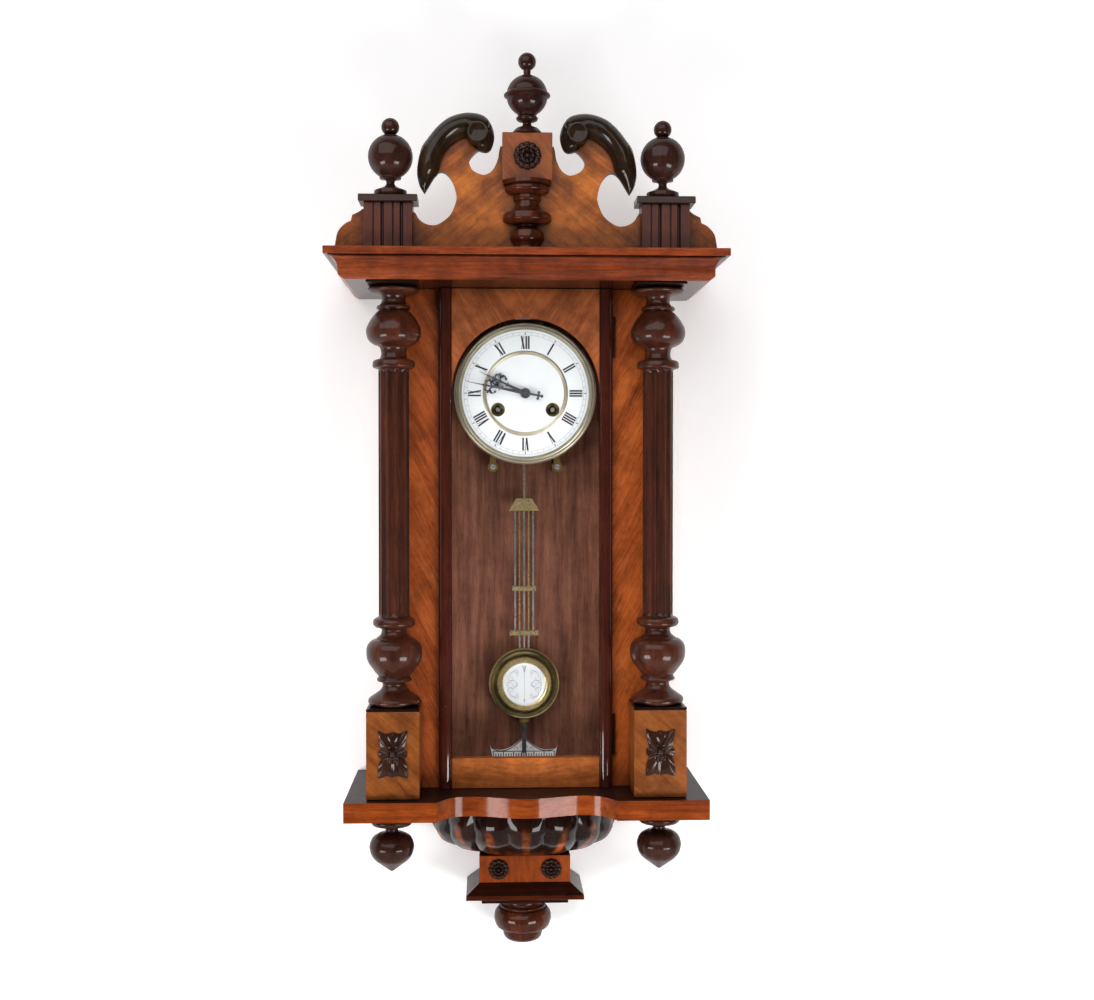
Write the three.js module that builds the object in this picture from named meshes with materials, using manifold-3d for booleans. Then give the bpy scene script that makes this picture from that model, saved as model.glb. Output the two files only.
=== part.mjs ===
// Vienna regulator wall clock with turned columns, a carved pediment and a gridiron pendulum.
// Millimetres. X runs to the right, Y into the wall and Z up. The origin lies on the axis of the
// hands, in the plane of the wall, so the whole clock has a negative Y.
import * as THREE from 'three';
import { mergeVertices } from 'three/addons/utils/BufferGeometryUtils.js';
import Module from 'manifold-3d';

const wasm = await Module();
wasm.setup();

// Clearances and construction values
const seat = 0.3;
const overrun = 2;
const mergeDistance = 0.0001;

// Case
const caseHalfWidth = 145;
const caseBottomZ = -427.3;
const caseTopZ = 111.6;
const stileFrontY = -96.7;
const stileThickness = 14;
const sideThickness = 10;
const backBoardThickness = 12;
const sideWindowMargin = 38;
const sideWindowFrame = 14;
const sideGlassThickness = 2;

// Cornice
const corniceHalfWidth = 187.6;
const corniceDepth = 167;
const chamferHeight = 4;
const fasciaProjection = 6;
const fasciaHeight = 6;
const coveHeight = 12.3;
const coveProjection = 10;
const filletHeight = 8.9;
const filletProjection = 3.6;

// Base plate with its serpentine front
const baseHalfWidth = 190;
const baseDepth = 167;
const baseThickness = 20.7;
const serpentineHalfWidth = 94;
const serpentineDepth = 26.5;

// Columns and pedestals
const columnX = 139.8;
const columnY = -126.6;
const pedestalHalfWidth = 27.9;
const pedestalFrontY = -154.6;
const pedestalHeight = 95.3;
const pedestalTopZ = caseBottomZ + pedestalHeight;
const pedestalCapHeight = 3;
const columnWidestRadius = 29.5;
const abacusHalfWidth = 26.2;
const abacusFrontY = -165;
const abacusHeight = 3.4;
const columnHeadHeight = 89;
const columnFootHeight = 93.4;
const shaftTopZ = caseTopZ - columnHeadHeight;
const shaftBottomZ = pedestalTopZ + columnFootHeight;
const shaftRadius = 16.1;
const fluteCount = 10;
const fluteDepth = 1.5;
const leafWidth = 30;
const leafHeight = 48;
const leafProjection = 3.2;
const leafBossRadius = 5.2;
const leafBossHeight = 1.6;

// Pediment
const boardFrontY = -157.3;
const boardThickness = 10.3;
const boardHalfWidth = 197.8;
const boardHeight = 134;
const scrollOuterX = 113.7;
const scrollRise = 57;
const scrollWidth = 80.3;
const scrollHeight = 84;
const scrollProjection = 17;
const voluteRadius = 11;
const voluteProjection = 2.5;
const blockX = 142.5;
const blockFrontY = -170;
const blockBackY = -143;
const blockHalfWidth = 24.9;
const blockHeight = 47.2;
const reedGroove = 2.4;
const rosetteProjection = 4.5;
const capHalfWidth = 30.2;
const capHeight = 7.4;
const capOverhang = 5.3;
const capBackOverhang = 1;
const centreBlockHalfWidth = 25.7;
const spindleHeight = 71.2;
const centreBlockHeight = 48.4;
const centreRosetteRadius = 14.2;
const spindleRadius = 24.9;

// Finials
const sideFinialX = 140.8;
const sideFinialY = -156.5;
const sideBallRadius = 23.1;
const sideFinialHeight = 81;
const sideSmallBallRadius = 9.3;
const centreFinialY = -157;
const centreBallRadius = 21.3;
const centreFinialHeight = 84.4;
const centreSmallBallRadius = 9.3;
const centreBeltRadius = 24.1;
const centreBeltHeight = 2.4;

// Lower bracket
const bowlHalfWidth = 106;
const bowlDepth = 131;
const bowlHeight = 63;
const bowlLobes = 8;
const friezeHalfWidth = 50.5;
const friezeDepth = 62;
const friezeHeight = 30;
const friezeRosetteRadius = 11.3;
const friezeRosetteX = 29.2;
const mouldingHalfWidth = 65;
const mouldingDepth = 77;
const mouldingHeight = 15.4;
const mouldingBand = 5.4;
const underplateHalfWidth = 48;
const underplateDepth = 66;
const underplateHeight = 6.6;
const bottomFinialX = -2;
const bottomFinialY = -40;
const bottomFinialRadius = 32;
const bottomFinialHeight = 48;
const dropInset = 45.7;
const dropX = baseHalfWidth - dropInset;
const dropY = -105;
const dropRadius = 23.9;
const dropHeight = 67;

// Door
const doorHalfWidth = 93.7;
const doorBackY = -92;
const doorPanelFrontY = -103;
const doorMouldingWidth = 14.2;
const doorMouldingProjection = 5;
const doorRailHeight = 32.2;
const doorGlassThickness = 2;
const doorGlassRebate = 3;
const doorLipThickness = 4;
const doorGap = 0.4;
const hingeHeight = 44;
const hingeLeafWidth = 11;
const hingeLeafThickness = 1.2;
const hingeKnuckleRadius = 1.6;
const hingePinRadius = 0.8;
const upperHingeDrop = 51.6;
const lowerHingeRise = 57.3;
const upperHingeZ = caseTopZ - upperHingeDrop;
const lowerHingeZ = caseBottomZ + lowerHingeRise;
const hingeY = -98.6;
const latchRise = 89.8;
const latchZ = caseBottomZ + latchRise;
const latchX = -86.6;
const latchFrontY = -109.5;
const latchBossRadius = 1.6;
const latchTongueThickness = 1.5;
const latchTongueWidth = 6;
const latchTongueLength = 16;

// Dial and hands
const dialFaceY = -84;
const dialThickness = 1.5;
const dialRadius = 69.4;
const bezelRadius = 77.3;
const bezelFrontY = -90;
const bezelBackY = -81.5;
const chapterRingInnerRadius = 46.6;
const centreDiscRadius = 42.2;
const windingX = 29.7;
const windingZ = -17.8;
const windingHoleRadius = 4.3;
const grommetRadius = 7.4;
const dialFootRadius = 2;
const dialFootSpread = 40;
const hourHandLength = 55.2;
const minuteHandLength = 64.8;
const minuteHandTail = 18.4;
const handThickness = 0.9;
const handStemWidth = 1.5;
const handTipWidth = 1.3;
const handRingRadius = 3.9;
const handRingWidth = 1.3;
const hourRingsAt = 31;
const minuteRingsAt = 38;
const hourHubRadius = 6.2;
const minuteHubRadius = 5.4;
const hourPipeRadius = 4;
const centreArborRadius = 2;
const pipeClearance = 0.6;
const innerRingHeight = 0.8;
const bezelHookLength = 4;
const bezelHookWidth = 6;
const bezelHookThickness = 0.8;
const hourHandY = -86.9;
const minuteHandY = -90.4;

// Movement plates
const frontPlateFrontY = -72;
const backPlateBackY = -38.5;
const plateThickness = 2.5;
const plateHalfWidth = 63;
const plateHalfHeight = 56;
const plateCornerRadius = 25;
const pillarX = 54;
const pillarZ = 46;
const pillarRadius = 3;
const footX = 35.2;
const footZ = -80;
const footEyeRadius = 5.6;
const footWidth = 7;
const screwHeadRadius = 3.2;
const screwShankRadius = 2;
const screwHeadHeight = 2.2;
const screwSlot = 0.9;
const screwLength = 11;
const bracketArmSize = 8;
const bracketPlateHalfWidth = 44;
const bracketPlateHeight = 16;
const bracketPlateRise = 18;

// Movement wheels
const wheelTeeth = 60;
const greatWheelTeeth = 48;
const pinionLeaves = 6;
const centrePinionLeaves = 8;
const minuteWheelTeeth = 24;
const cannonLeaves = 8;
const hourWheelTeeth = 32;
const minutePinionLeaves = 8;
const motionDistance = 18;
const escapeTeeth = 30;
const escapeRadius = 13;
const escapeZ = 31.6;
const thirdX = -22.14;
const thirdZ = 17.22;
const strikeX = 29.7;
const strikeZ = 16.8;
const strikeWheelTeeth = 40;
const strikeWheelRadius = 19.2;
const wheelThickness = 1.5;
const greatWheelThickness = 2;
const drumRadius = 25;
const arborRadius = 1.4;
const pivotRadius = 0.8;
const windingArborRadius = 3;
const windingSquare = 4;
const ratchetRadius = 9;
const ratchetTeeth = 16;
const wheelSpace = 1;
const wheelRim = 1.8;
const wheelHubRadius = 4.6;
const spokeWidth = 1.8;
const spokeCount = 4;
const centreWheelSetback = 3;
const strikeGreatSetback = 7.2;
const escapeWheelSetback = 9.5;
const drumLength = 14;
const cannonSetback = 3.2;
const hourWheelSetback = 3;
const minuteX = 0;
const minuteZ = -18;
const studRadius = 1.2;
const palletClearance = 1;
const palletWidth = 2.6;
const palletDegrees = 52;
const crutchGap = 2.5;
const crutchThickness = 1.2;
const crutchWidth = 4;
const crutchLength = 62;

// Pendulum and strike
const pendulumY = -30;
const suspensionZ = 50;
const pendulumRodRadius = 1.2;
const gridironRodSpacing = 4.7;
const gridironRodRadius = 1.25;
const bobRadius = 39.7;
const bobFrontY = -40;
const bobBackY = -24;
const enamelDiscRadius = 24;
const nutRadius = 7.5;
const nutHeight = 5;
const nutGap = 0.4;
const threadRadius = 1.8;
const flatRodHalfWidth = 2.4;
const flatRodThickness = 1.6;
const bobStep = 1.5;
const enamelDiscProjection = 0.8;
const crownHeight = 12;
const crownTopHalfWidth = 9;
const crownBottomHalfWidth = 15.2;
const gridironBarHeight = 5.4;
const gridironBarThickness = 5;
const gridironMiddleOverhang = 3.9;
const gridironLowerOverhang = 6.8;
const springThickness = 0.6;
const springWidth = 5;
const springLength = 10;
const springGrip = 3;
const cockRise = 4;
const cockHeight = 6;
const cockSlotGap = 0.6;
const cockHalfWidth = 6;
const hammerX = 40;
const hammerZ = 44;
const hammerHeadX = 44.3;
const hammerHeadZ = -28;
const gongRadius = 44.8;
const gongTurns = 3;
const gongStepsPerTurn = 14;
const gongPitch = 4.8;
const gongWireRadius = 1.3;
const gongY = -18;
const gongBlockX = 35;
const gongBlockZ = -28;
const gongBlockSize = 9;
const hammerArmWidth = 2.4;
const hammerHeadSize = 9;
const hammerHeadBackY = -19;

// Beat scale and hanging plate
const beatScaleHalfWidth = 38.6;
const beatScaleRise = 37.3;
const beatScaleTopZ = caseBottomZ + beatScaleRise;
const beatScaleHeight = 22;
const beatScaleThickness = 2;
const hangingPlateWidth = 44;
const hangingPlateHeight = 62;
const hangingPlateThickness = 2;
const hangingPlateDrop = 41.6;
const hangingPlateZ = caseTopZ - hangingPlateDrop;
const keyholeRadius = 7;
const keyholeSlot = 3.5;

// Heights of the pendulum, from the tip of its rod just below the beat scale's arch
const rodTipDrop = 13;
const rodEndZ = beatScaleTopZ - rodTipDrop;
const bobRise = 79;
const bobZ = rodEndZ + bobRise;
const gridironRise = 59.5;
const gridironBottomZ = bobZ + gridironRise;
const gridironLength = 137.5;
const gridironTopZ = gridironBottomZ + gridironLength;

// Shares that several pieces use
const reedShares = [-0.62, -0.26, 0.2, 0.56];
const voluteDiscShares = [[0.55, 0], [0.9, 0.12], [1, 0.3], [1, 1]];
const sideBallShare = 0.51;
const centreBallShare = 0.477;
const bezelShares = [
  [0, 0.5], [0.3, 0.3], [0.42, 0.02], [0.72, 0], [0.85, 0.25], [1, 0.35], [1, 1], [0, 1],
];
const gridironMiddleShare = 0.635;
const beatScaleShares = [
  [0.12, 0], [0.92, 0], [1, 0.62], [0.86, 0.46], [0.68, 0.4], [0.5, 0.46], [0.32, 0.62], [0.14, 0.86],
  [0.05, 1],
];

// The photographed time, in degrees clockwise from twelve
const hourHandDegrees = -64.7;
const minuteHandDegrees = -79;

// Finishes
function finish(color, roughness, metalness) {
  return new THREE.MeshStandardMaterial({ color, roughness, metalness });
}

const walnutVeneer = finish('#8f4a22', 0.45, 0);
const walnutMoulding = finish('#7d3a1e', 0.4, 0);
const darkWalnut = finish('#33190f', 0.3, 0);
const goldenVeneer = finish('#9a6530', 0.45, 0);
const oliveWalnut = finish('#3a2c20', 0.4, 0);
const brass = finish('#9c8748', 0.35, 1);
const steel = finish('#8f8f8c', 0.35, 1);
const blackSteel = finish('#1b1b1d', 0.4, 0.8);
const enamel = finish('#e8ecec', 0.2, 0);
const glass = finish('#c9d3d6', 0.05, 0);

// Closed solids from three.js geometries
function signedVolume(position, index) {
  const corner = [0, 1, 2].map(() => new THREE.Vector3());
  let volume = 0;
  for (let face = 0; face < index.length; face += corner.length) {
    corner.forEach((point, k) => point.fromArray(position, index[face + k] * corner.length));
    volume += corner[0].dot(corner[1].cross(corner[2]));
  }
  return volume;
}

function solidFrom(geometry) {
  const bare = geometry.clone();
  bare.deleteAttribute('normal');
  bare.deleteAttribute('uv');
  const merged = mergeVertices(bare, mergeDistance);
  const index = [];
  const source = merged.index.array;
  for (let face = 0; face < source.length; face += 3) {
    const [a, b, c] = [source[face], source[face + 1], source[face + 2]];
    if (a !== b && b !== c && a !== c) {
      index.push(a, b, c);
    }
  }
  const position = merged.attributes.position.array;
  if (signedVolume(position, index) < 0) {
    index.reverse();
  }
  return new wasm.Manifold(new wasm.Mesh({
    numProp: 3,
    vertProperties: new Float32Array(position),
    triVerts: new Uint32Array(index),
  }));
}

function geometryFrom(solid) {
  const mesh = solid.asOriginal().simplify(mergeDistance).getMesh();
  const geometry = new THREE.BufferGeometry();
  geometry.setAttribute('position', new THREE.BufferAttribute(new Float32Array(mesh.vertProperties), 3));
  geometry.setIndex(new THREE.BufferAttribute(new Uint32Array(mesh.triVerts), 1));
  geometry.computeVertexNormals();
  return geometry;
}

function join(...solids) {
  return solids.flat().reduce((whole, next) => whole.add(next));
}

function cut(solid, ...tools) {
  return tools.flat().reduce((whole, tool) => whole.subtract(tool), solid);
}

// A box given by its lower and upper limits along each axis
function boxBetween(x0, x1, y0, y1, z0, z1) {
  const geometry = new THREE.BoxGeometry(Math.abs(x1 - x0), Math.abs(y1 - y0), Math.abs(z1 - z0));
  geometry.translate((x0 + x1) / 2, (y0 + y1) / 2, (z0 + z1) / 2);
  return solidFrom(geometry);
}

// A plain round bar along Z
function rodAlongZ(radius, z0, z1, sides, x = 0, y = 0) {
  return turned([[radius, z0], [radius, z1]], sides, x, y);
}

// A solid of revolution about Z from [radius, height] pairs that run upward
function turned(profile, sides, x = 0, y = 0, z = 0) {
  const points = [[0, profile[0][1]], ...profile, [0, profile[profile.length - 1][1]]];
  const geometry = new THREE.LatheGeometry(points.map(([r, h]) => new THREE.Vector2(r, h)), sides);
  geometry.rotateX(Math.PI / 2);
  geometry.translate(x, y, z);
  return solidFrom(geometry);
}

// The same about Y: the heights are Y values that run toward the wall
function turnedAlongY(profile, sides, x = 0, z = 0) {
  const points = [[0, profile[0][1]], ...profile, [0, profile[profile.length - 1][1]]];
  const geometry = new THREE.LatheGeometry(points.map(([r, h]) => new THREE.Vector2(r, h)), sides);
  geometry.translate(x, 0, z);
  return solidFrom(geometry);
}

function rodAlongY(radius, y0, y1, sides, x = 0, z = 0) {
  return turnedAlongY([[radius, y0], [radius, y1]], sides, x, z);
}

// The radius of a faceted hole whose flats clear a shaft by the seat
function boreRadius(shaftRadius, sides) {
  return (shaftRadius + seat) / Math.cos(Math.PI / sides);
}

// An outline drawn in X and Z, extruded from the plane y0 toward the wall to y1
function frontal(shape, y0, y1, curveSegments = 12) {
  const geometry = new THREE.ExtrudeGeometry(shape, {
    depth: y1 - y0,
    bevelEnabled: false,
    curveSegments,
  });
  geometry.rotateX(Math.PI / 2);
  geometry.translate(0, y1, 0);
  return solidFrom(geometry);
}

// An outline drawn in X and Y, extruded upward
function upright(shape, z0, z1, curveSegments = 12) {
  const geometry = new THREE.ExtrudeGeometry(shape, {
    depth: z1 - z0,
    bevelEnabled: false,
    curveSegments,
  });
  geometry.translate(0, 0, z0);
  return solidFrom(geometry);
}

function polygon(points) {
  return new THREE.Shape(points.map(([x, z]) => new THREE.Vector2(x, z)));
}

// A solid skinned over closed rings of equal point counts, each ring flat and star shaped
function loft(rings) {
  const count = rings[0].length;
  const positions = rings.flat(2);
  const index = [];
  for (let ring = 0; ring < rings.length - 1; ring += 1) {
    for (let i = 0; i < count; i += 1) {
      const a = ring * count + i;
      const b = ring * count + (i + 1) % count;
      index.push(a, b, b + count, a, b + count, a + count);
    }
  }
  const capCentre = (ring) => [0, 1, 2].map((axis) => ring.reduce((sum, p) => sum + p[axis], 0) / count);
  const bottom = positions.length / 3;
  positions.push(...capCentre(rings[0]), ...capCentre(rings[rings.length - 1]));
  const lastStart = (rings.length - 1) * count;
  for (let i = 0; i < count; i += 1) {
    const next = (i + 1) % count;
    index.push(bottom, next, i, bottom + 1, lastStart + i, lastStart + next);
  }
  const geometry = new THREE.BufferGeometry();
  geometry.setAttribute('position', new THREE.Float32BufferAttribute(positions, 3));
  geometry.setIndex(index);
  return solidFrom(geometry);
}

// Profile points of a round bead or ball, from one angle below the equator to one above it
function bead(radius, centreHeight, fromDegrees, toDegrees, steps, stretch = 1, axisOffset = 0) {
  const points = [];
  for (let i = 0; i <= steps; i += 1) {
    const angle = THREE.MathUtils.degToRad(fromDegrees + (toDegrees - fromDegrees) * (i / steps));
    points.push([
      axisOffset + radius * Math.cos(angle),
      centreHeight + radius * stretch * Math.sin(angle),
    ]);
  }
  return points;
}

// Profile points from shares of a radius and of a height, standing at a given height
function shaped(shares, radius, height, bottom = 0) {
  return shares.map(([radiusShare, heightShare]) => [radius * radiusShare, bottom + height * heightShare]);
}

const clock = new THREE.Group();

function add(name, solid, material, x = 0, y = 0, z = 0) {
  const mesh = new THREE.Mesh(geometryFrom(solid), material);
  mesh.name = name;
  mesh.position.set(x, y, z);
  clock.add(mesh);
}

function mirrored(points) {
  return points.map(([x, z]) => [-x, z]).reverse();
}

// Back board, with a hole behind the hanging plate's keyhole for the wall hook
add('back_board', cut(
  boxBetween(
    seat + sideThickness - caseHalfWidth, caseHalfWidth - sideThickness - seat,
    -backBoardThickness, 0,
    caseBottomZ + seat, caseTopZ - seat,
  ),
  boxBetween(
    -keyholeRadius, keyholeRadius, -backBoardThickness - overrun, overrun,
    hangingPlateZ - keyholeRadius, hangingPlateZ + keyholeRadius * 2,
  ),
), walnutVeneer);

// Hanging plate: a steel plate with a keyhole, on the front of the back board near its top
function hangingPlate() {
  const half = hangingPlateWidth / 2;
  const y0 = -backBoardThickness - seat - hangingPlateThickness;
  const y1 = -backBoardThickness - seat;
  const outline = polygon([
    [-half, hangingPlateZ - hangingPlateHeight / 2],
    [half, hangingPlateZ - hangingPlateHeight / 2],
    [half, hangingPlateZ + hangingPlateHeight / 2],
    [-half, hangingPlateZ + hangingPlateHeight / 2],
  ]);
  const hole = new THREE.Path();
  const slotAngle = Math.asin(keyholeSlot / keyholeRadius);
  const fullTurn = Math.PI * 2;
  const up = Math.PI / 2;
  hole.absarc(0, hangingPlateZ, keyholeRadius, up + slotAngle, fullTurn + up - slotAngle, false);
  hole.lineTo(keyholeSlot, hangingPlateZ + keyholeRadius * 2);
  hole.lineTo(-keyholeSlot, hangingPlateZ + keyholeRadius * 2);
  outline.holes.push(hole);
  return frontal(outline, y0, y1);
}

add('hanging_plate', hangingPlate(), steel);

// Case sides: a side frame with its window, and the veneered front stile glued across its edge
const stileInnerX = doorHalfWidth + doorGap;
const windowBackY = -backBoardThickness - sideWindowFrame;
const windowFrontY = stileFrontY + stileThickness + sideWindowFrame;

// The right stile's inner edge is cut away for the hinges' fixed leaves
function leafRecess(z) {
  return boxBetween(
    stileInnerX - overrun, stileInnerX + hingeLeafThickness + seat * 2,
    stileFrontY - overrun, hingeY + hingeLeafWidth + seat,
    z - hingeHeight / 2 - seat, z + hingeHeight / 2 + seat,
  );
}

function caseSide(side) {
  const inner = caseHalfWidth - sideThickness;
  const plan = polygon([
    [side * inner, 0],
    [side * caseHalfWidth, 0],
    [side * caseHalfWidth, stileFrontY],
    [side * stileInnerX, stileFrontY],
    [side * stileInnerX, stileFrontY + stileThickness],
    [side * inner, stileFrontY + stileThickness],
  ]);
  const window = boxBetween(
    side * (inner - overrun), side * (caseHalfWidth + overrun),
    windowFrontY, windowBackY,
    caseBottomZ + sideWindowMargin, caseTopZ - sideWindowMargin,
  );
  const recesses = side > 0 ? [leafRecess(upperHingeZ), leafRecess(lowerHingeZ)] : [];
  return cut(upright(plan, caseBottomZ + seat, caseTopZ - seat), window, recesses);
}

function sideGlass(side) {
  const middle = side * (caseHalfWidth - sideThickness / 2);
  return boxBetween(
    middle - sideGlassThickness / 2, middle + sideGlassThickness / 2,
    windowFrontY + seat, windowBackY - seat,
    caseBottomZ + sideWindowMargin + seat, caseTopZ - sideWindowMargin - seat,
  );
}

for (const [name, side] of [['left', -1], ['right', 1]]) {
  add(`${name}_case_side`, caseSide(side), walnutVeneer);
  add(`${name}_side_glass`, sideGlass(side), glass);
}

// Cornice: a moulded frame of chamfer, fascia, cove and fillet on three sides
const corniceTopZ = caseTopZ + chamferHeight + fasciaHeight + coveHeight + filletHeight;

function cornice() {
  const fasciaTopZ = caseTopZ + chamferHeight + fasciaHeight;
  const profile = [
    [0, caseTopZ],
    [fasciaProjection, caseTopZ + chamferHeight],
    [fasciaProjection, fasciaTopZ],
  ];
  const coveSteps = 5;
  for (let i = 1; i <= coveSteps; i += 1) {
    const angle = (Math.PI / 2) * (i / coveSteps);
    profile.push([
      fasciaProjection + coveProjection * (1 - Math.cos(angle)),
      fasciaTopZ + coveHeight * Math.sin(angle),
    ]);
  }
  const filletEdge = fasciaProjection + coveProjection + filletProjection;
  profile.push([filletEdge, corniceTopZ - filletHeight], [filletEdge, corniceTopZ]);
  return loft(profile.map(([out, z]) => [
    [-corniceHalfWidth - out, 0, z],
    [-corniceHalfWidth - out, -corniceDepth - out, z],
    [corniceHalfWidth + out, -corniceDepth - out, z],
    [corniceHalfWidth + out, 0, z],
  ]));
}

add('cornice', cornice(), walnutMoulding);

// Base plate: the serpentine recess is given as shares of its half width and of its depth
const serpentineShares = [
  [1, 0], [0.95, 0.3], [0.87, 0.68], [0.76, 0.93], [0.62, 1], [0.47, 0.91], [0.3, 0.71],
  [0.14, 0.54], [0, 0.49],
];

function basePlate() {
  const half = serpentineShares.map(([acrossShare, inShare]) => [
    acrossShare * serpentineHalfWidth,
    inShare * serpentineDepth - baseDepth,
  ]);
  const left = half.slice(0, -1).map(([x, y]) => [-x, y]);
  const plan = polygon([
    [-baseHalfWidth, 0], [-baseHalfWidth, -baseDepth],
    ...left, ...half.reverse(),
    [baseHalfWidth, -baseDepth], [baseHalfWidth, 0],
  ]);
  return upright(plan, caseBottomZ - baseThickness, caseBottomZ);
}

add('base_plate', basePlate(), walnutMoulding);

// Pedestals: veneered blocks with a dark cap and a carved leaf on the front
const pedestalBackY = stileFrontY - seat;
const leafShares = [
  [0, -0.46], [0.25, -0.48], [0.48, -0.5], [0.5, -0.36], [0.42, -0.2], [0.3, -0.08], [0.44, 0],
  [0.3, 0.08], [0.42, 0.22], [0.5, 0.4], [0.48, 0.5], [0.25, 0.48], [0, 0.45],
];

const bossShares = [[0.35, 0], [0.75, 0.3], [1, 1]];

function carvedLeaf(centreZ, faceY) {
  const half = leafShares.map(([acrossShare, upShare]) => [
    acrossShare * leafWidth,
    centreZ + upShare * leafHeight,
  ]);
  const outline = polygon([...half, ...mirrored(half.slice(1, -1))]);
  const boss = shaped(bossShares, leafBossRadius, leafBossHeight, faceY - leafProjection - leafBossHeight);
  return [
    frontal(outline, faceY - leafProjection, faceY + seat),
    turnedAlongY([...boss, [leafBossRadius, faceY]], 10, 0, centreZ),
  ];
}

function pedestal() {
  const capZ = pedestalTopZ - pedestalCapHeight;
  const veneerX = pedestalHalfWidth - seat;
  const veneerY = pedestalFrontY + seat;
  return join(
    boxBetween(-veneerX, veneerX, veneerY, pedestalBackY, caseBottomZ + seat, capZ + seat),
    boxBetween(-pedestalHalfWidth, pedestalHalfWidth, pedestalFrontY, pedestalBackY, capZ, pedestalTopZ),
    carvedLeaf((caseBottomZ + pedestalTopZ) / 2, veneerY),
  );
}

// Columns: turned bulbs and rings at both ends of a fluted shaft, under a square abacus.
// Each row gives a radius as a share of the widest one and a height as a share of its end.
const columnLowerShares = [
  [0.93, 0], [0.93, 0.06], [0.695, 0.125], [0.42, 0.2], [0.44, 0.25], [0.627, 0.275], [0.6, 0.32],
  [0.92, 0.48], [1, 0.6], [0.9, 0.7], [0.64, 0.752], [0.447, 0.84], [0.74, 0.895], [0.745, 0.96], [0.575, 1],
];
const columnUpperShares = [
  [0.575, 0], [0.74, 0.03], [0.73, 0.1], [0.465, 0.15], [0.47, 0.215], [0.68, 0.272], [0.877, 0.329],
  [0.95, 0.385], [0.965, 0.45], [0.93, 0.526], [0.855, 0.602], [0.66, 0.68], [0.47, 0.722],
  [0.62, 0.74], [0.62, 0.785], [0.405, 0.83], [0.405, 0.89], [0.83, 0.92], [0.91, 0.95], [0.81, 1],
];
const fluteShares = [[0.12, 0], [0.5, 1], [0.88, 0]];

function flutedShaft() {
  const points = [];
  for (let flute = 0; flute < fluteCount; flute += 1) {
    for (const [turnShare, depthShare] of fluteShares) {
      const angle = ((flute + turnShare) / fluteCount) * Math.PI * 2;
      const radius = shaftRadius - fluteDepth * depthShare;
      points.push([radius * Math.cos(angle), radius * Math.sin(angle)]);
    }
  }
  return upright(polygon(points), shaftBottomZ - overrun, shaftTopZ + overrun);
}

function column() {
  const sides = 12;
  const abacusBottomZ = caseTopZ - seat - abacusHeight;
  const footZ0 = pedestalTopZ + seat;
  return join(
    turned(shaped(columnLowerShares, columnWidestRadius, shaftBottomZ - footZ0, footZ0), sides),
    turned(shaped(columnUpperShares, columnWidestRadius, abacusBottomZ - shaftTopZ, shaftTopZ), sides),
    flutedShaft(),
    boxBetween(
      -abacusHalfWidth, abacusHalfWidth, abacusFrontY - columnY, abacusHalfWidth,
      abacusBottomZ, abacusBottomZ + abacusHeight,
    ),
  );
}

for (const [name, side] of [['left', -1], ['right', 1]]) {
  add(`${name}_pedestal`, pedestal(), walnutVeneer, side * columnX, 0, 0);
  add(`${name}_column`, column(), darkWalnut, side * columnX, columnY, 0);
}

// Pediment board: a fretted outline, given as shares of its half width and of its height
const boardShares = [
  [1, 0], [1, 0.03], [0.996, 0.075], [0.984, 0.143], [0.95, 0.2], [0.917, 0.225], [0.911, 0.268],
  [0.875, 0.294], [0.857, 0.315], [0.6, 0.3], [0.582, 0.285], [0.564, 0.24], [0.533, 0.207],
  [0.494, 0.194], [0.456, 0.208], [0.403, 0.27], [0.373, 0.366], [0.37, 0.434], [0.388, 0.526],
  [0.419, 0.59], [0.45, 0.609], [0.475, 0.592], [0.51, 0.64], [0.51, 0.767], [0.465, 0.894],
  [0.39, 0.972], [0.303, 0.998], [0.238, 0.984], [0.202, 0.894], [0.217, 0.805], [0.265, 0.765],
  [0.297, 0.711], [0.302, 0.672], [0.284, 0.619], [0.247, 0.59], [0.216, 0.586], [0.18, 0.621],
  [0.154, 0.698], [0.146, 0.767], [0.139, 0.804], [0.06, 0.804],
];
const boardBottomZ = corniceTopZ + seat;
const boardBackY = boardFrontY + boardThickness;

function pedimentBoard() {
  const right = boardShares.map(([acrossShare, upShare]) => [
    acrossShare * boardHalfWidth,
    boardBottomZ + upShare * boardHeight,
  ]);
  return frontal(polygon([...right, ...mirrored(right)]), boardFrontY, boardBackY);
}

add('pediment_board', pedimentBoard(), goldenVeneer);

// Scroll mouldings: horns that run up from a hanging tip to a volute beside the centre block
const scrollOuterShares = [
  [0.1, 0], [0.03, 0.118], [0.005, 0.3], [0.055, 0.55], [0.14, 0.68], [0.27, 0.833], [0.425, 0.945],
  [0.63, 1], [0.825, 0.979], [0.928, 0.903], [0.995, 0.74], [0.967, 0.582], [0.9, 0.513], [0.786, 0.534],
];
const scrollInnerShares = [
  [0.67, 0.708], [0.54, 0.672], [0.413, 0.577], [0.322, 0.437], [0.277, 0.261], [0.219, 0.19], [0.1, 0],
];
const voluteCentreShares = [0.777, 0.728];

function scroll(side) {
  const place = ([acrossShare, upShare]) => new THREE.Vector2(
    side * (scrollOuterX - acrossShare * scrollWidth),
    boardBottomZ + scrollRise + upShare * scrollHeight,
  );
  const outer = new THREE.SplineCurve(scrollOuterShares.map(place)).getPoints(26);
  const inner = new THREE.SplineCurve(scrollInnerShares.map(place)).getPoints(12);
  const outline = [...outer, ...inner.slice(0, -1)].map((point) => [point.x, point.y]);
  const volute = place(voluteCentreShares);
  const backY = boardFrontY - seat;
  const frontY = backY - scrollProjection;
  return join(
    frontal(polygon(outline), frontY, backY),
    turnedAlongY(shaped(voluteDiscShares, voluteRadius, scrollProjection / 2, frontY - voluteProjection),
      14, volute.x, volute.y),
  );
}

for (const [name, side] of [['left', -1], ['right', 1]]) {
  add(`${name}_scroll`, scroll(side), oliveWalnut);
}

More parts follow.
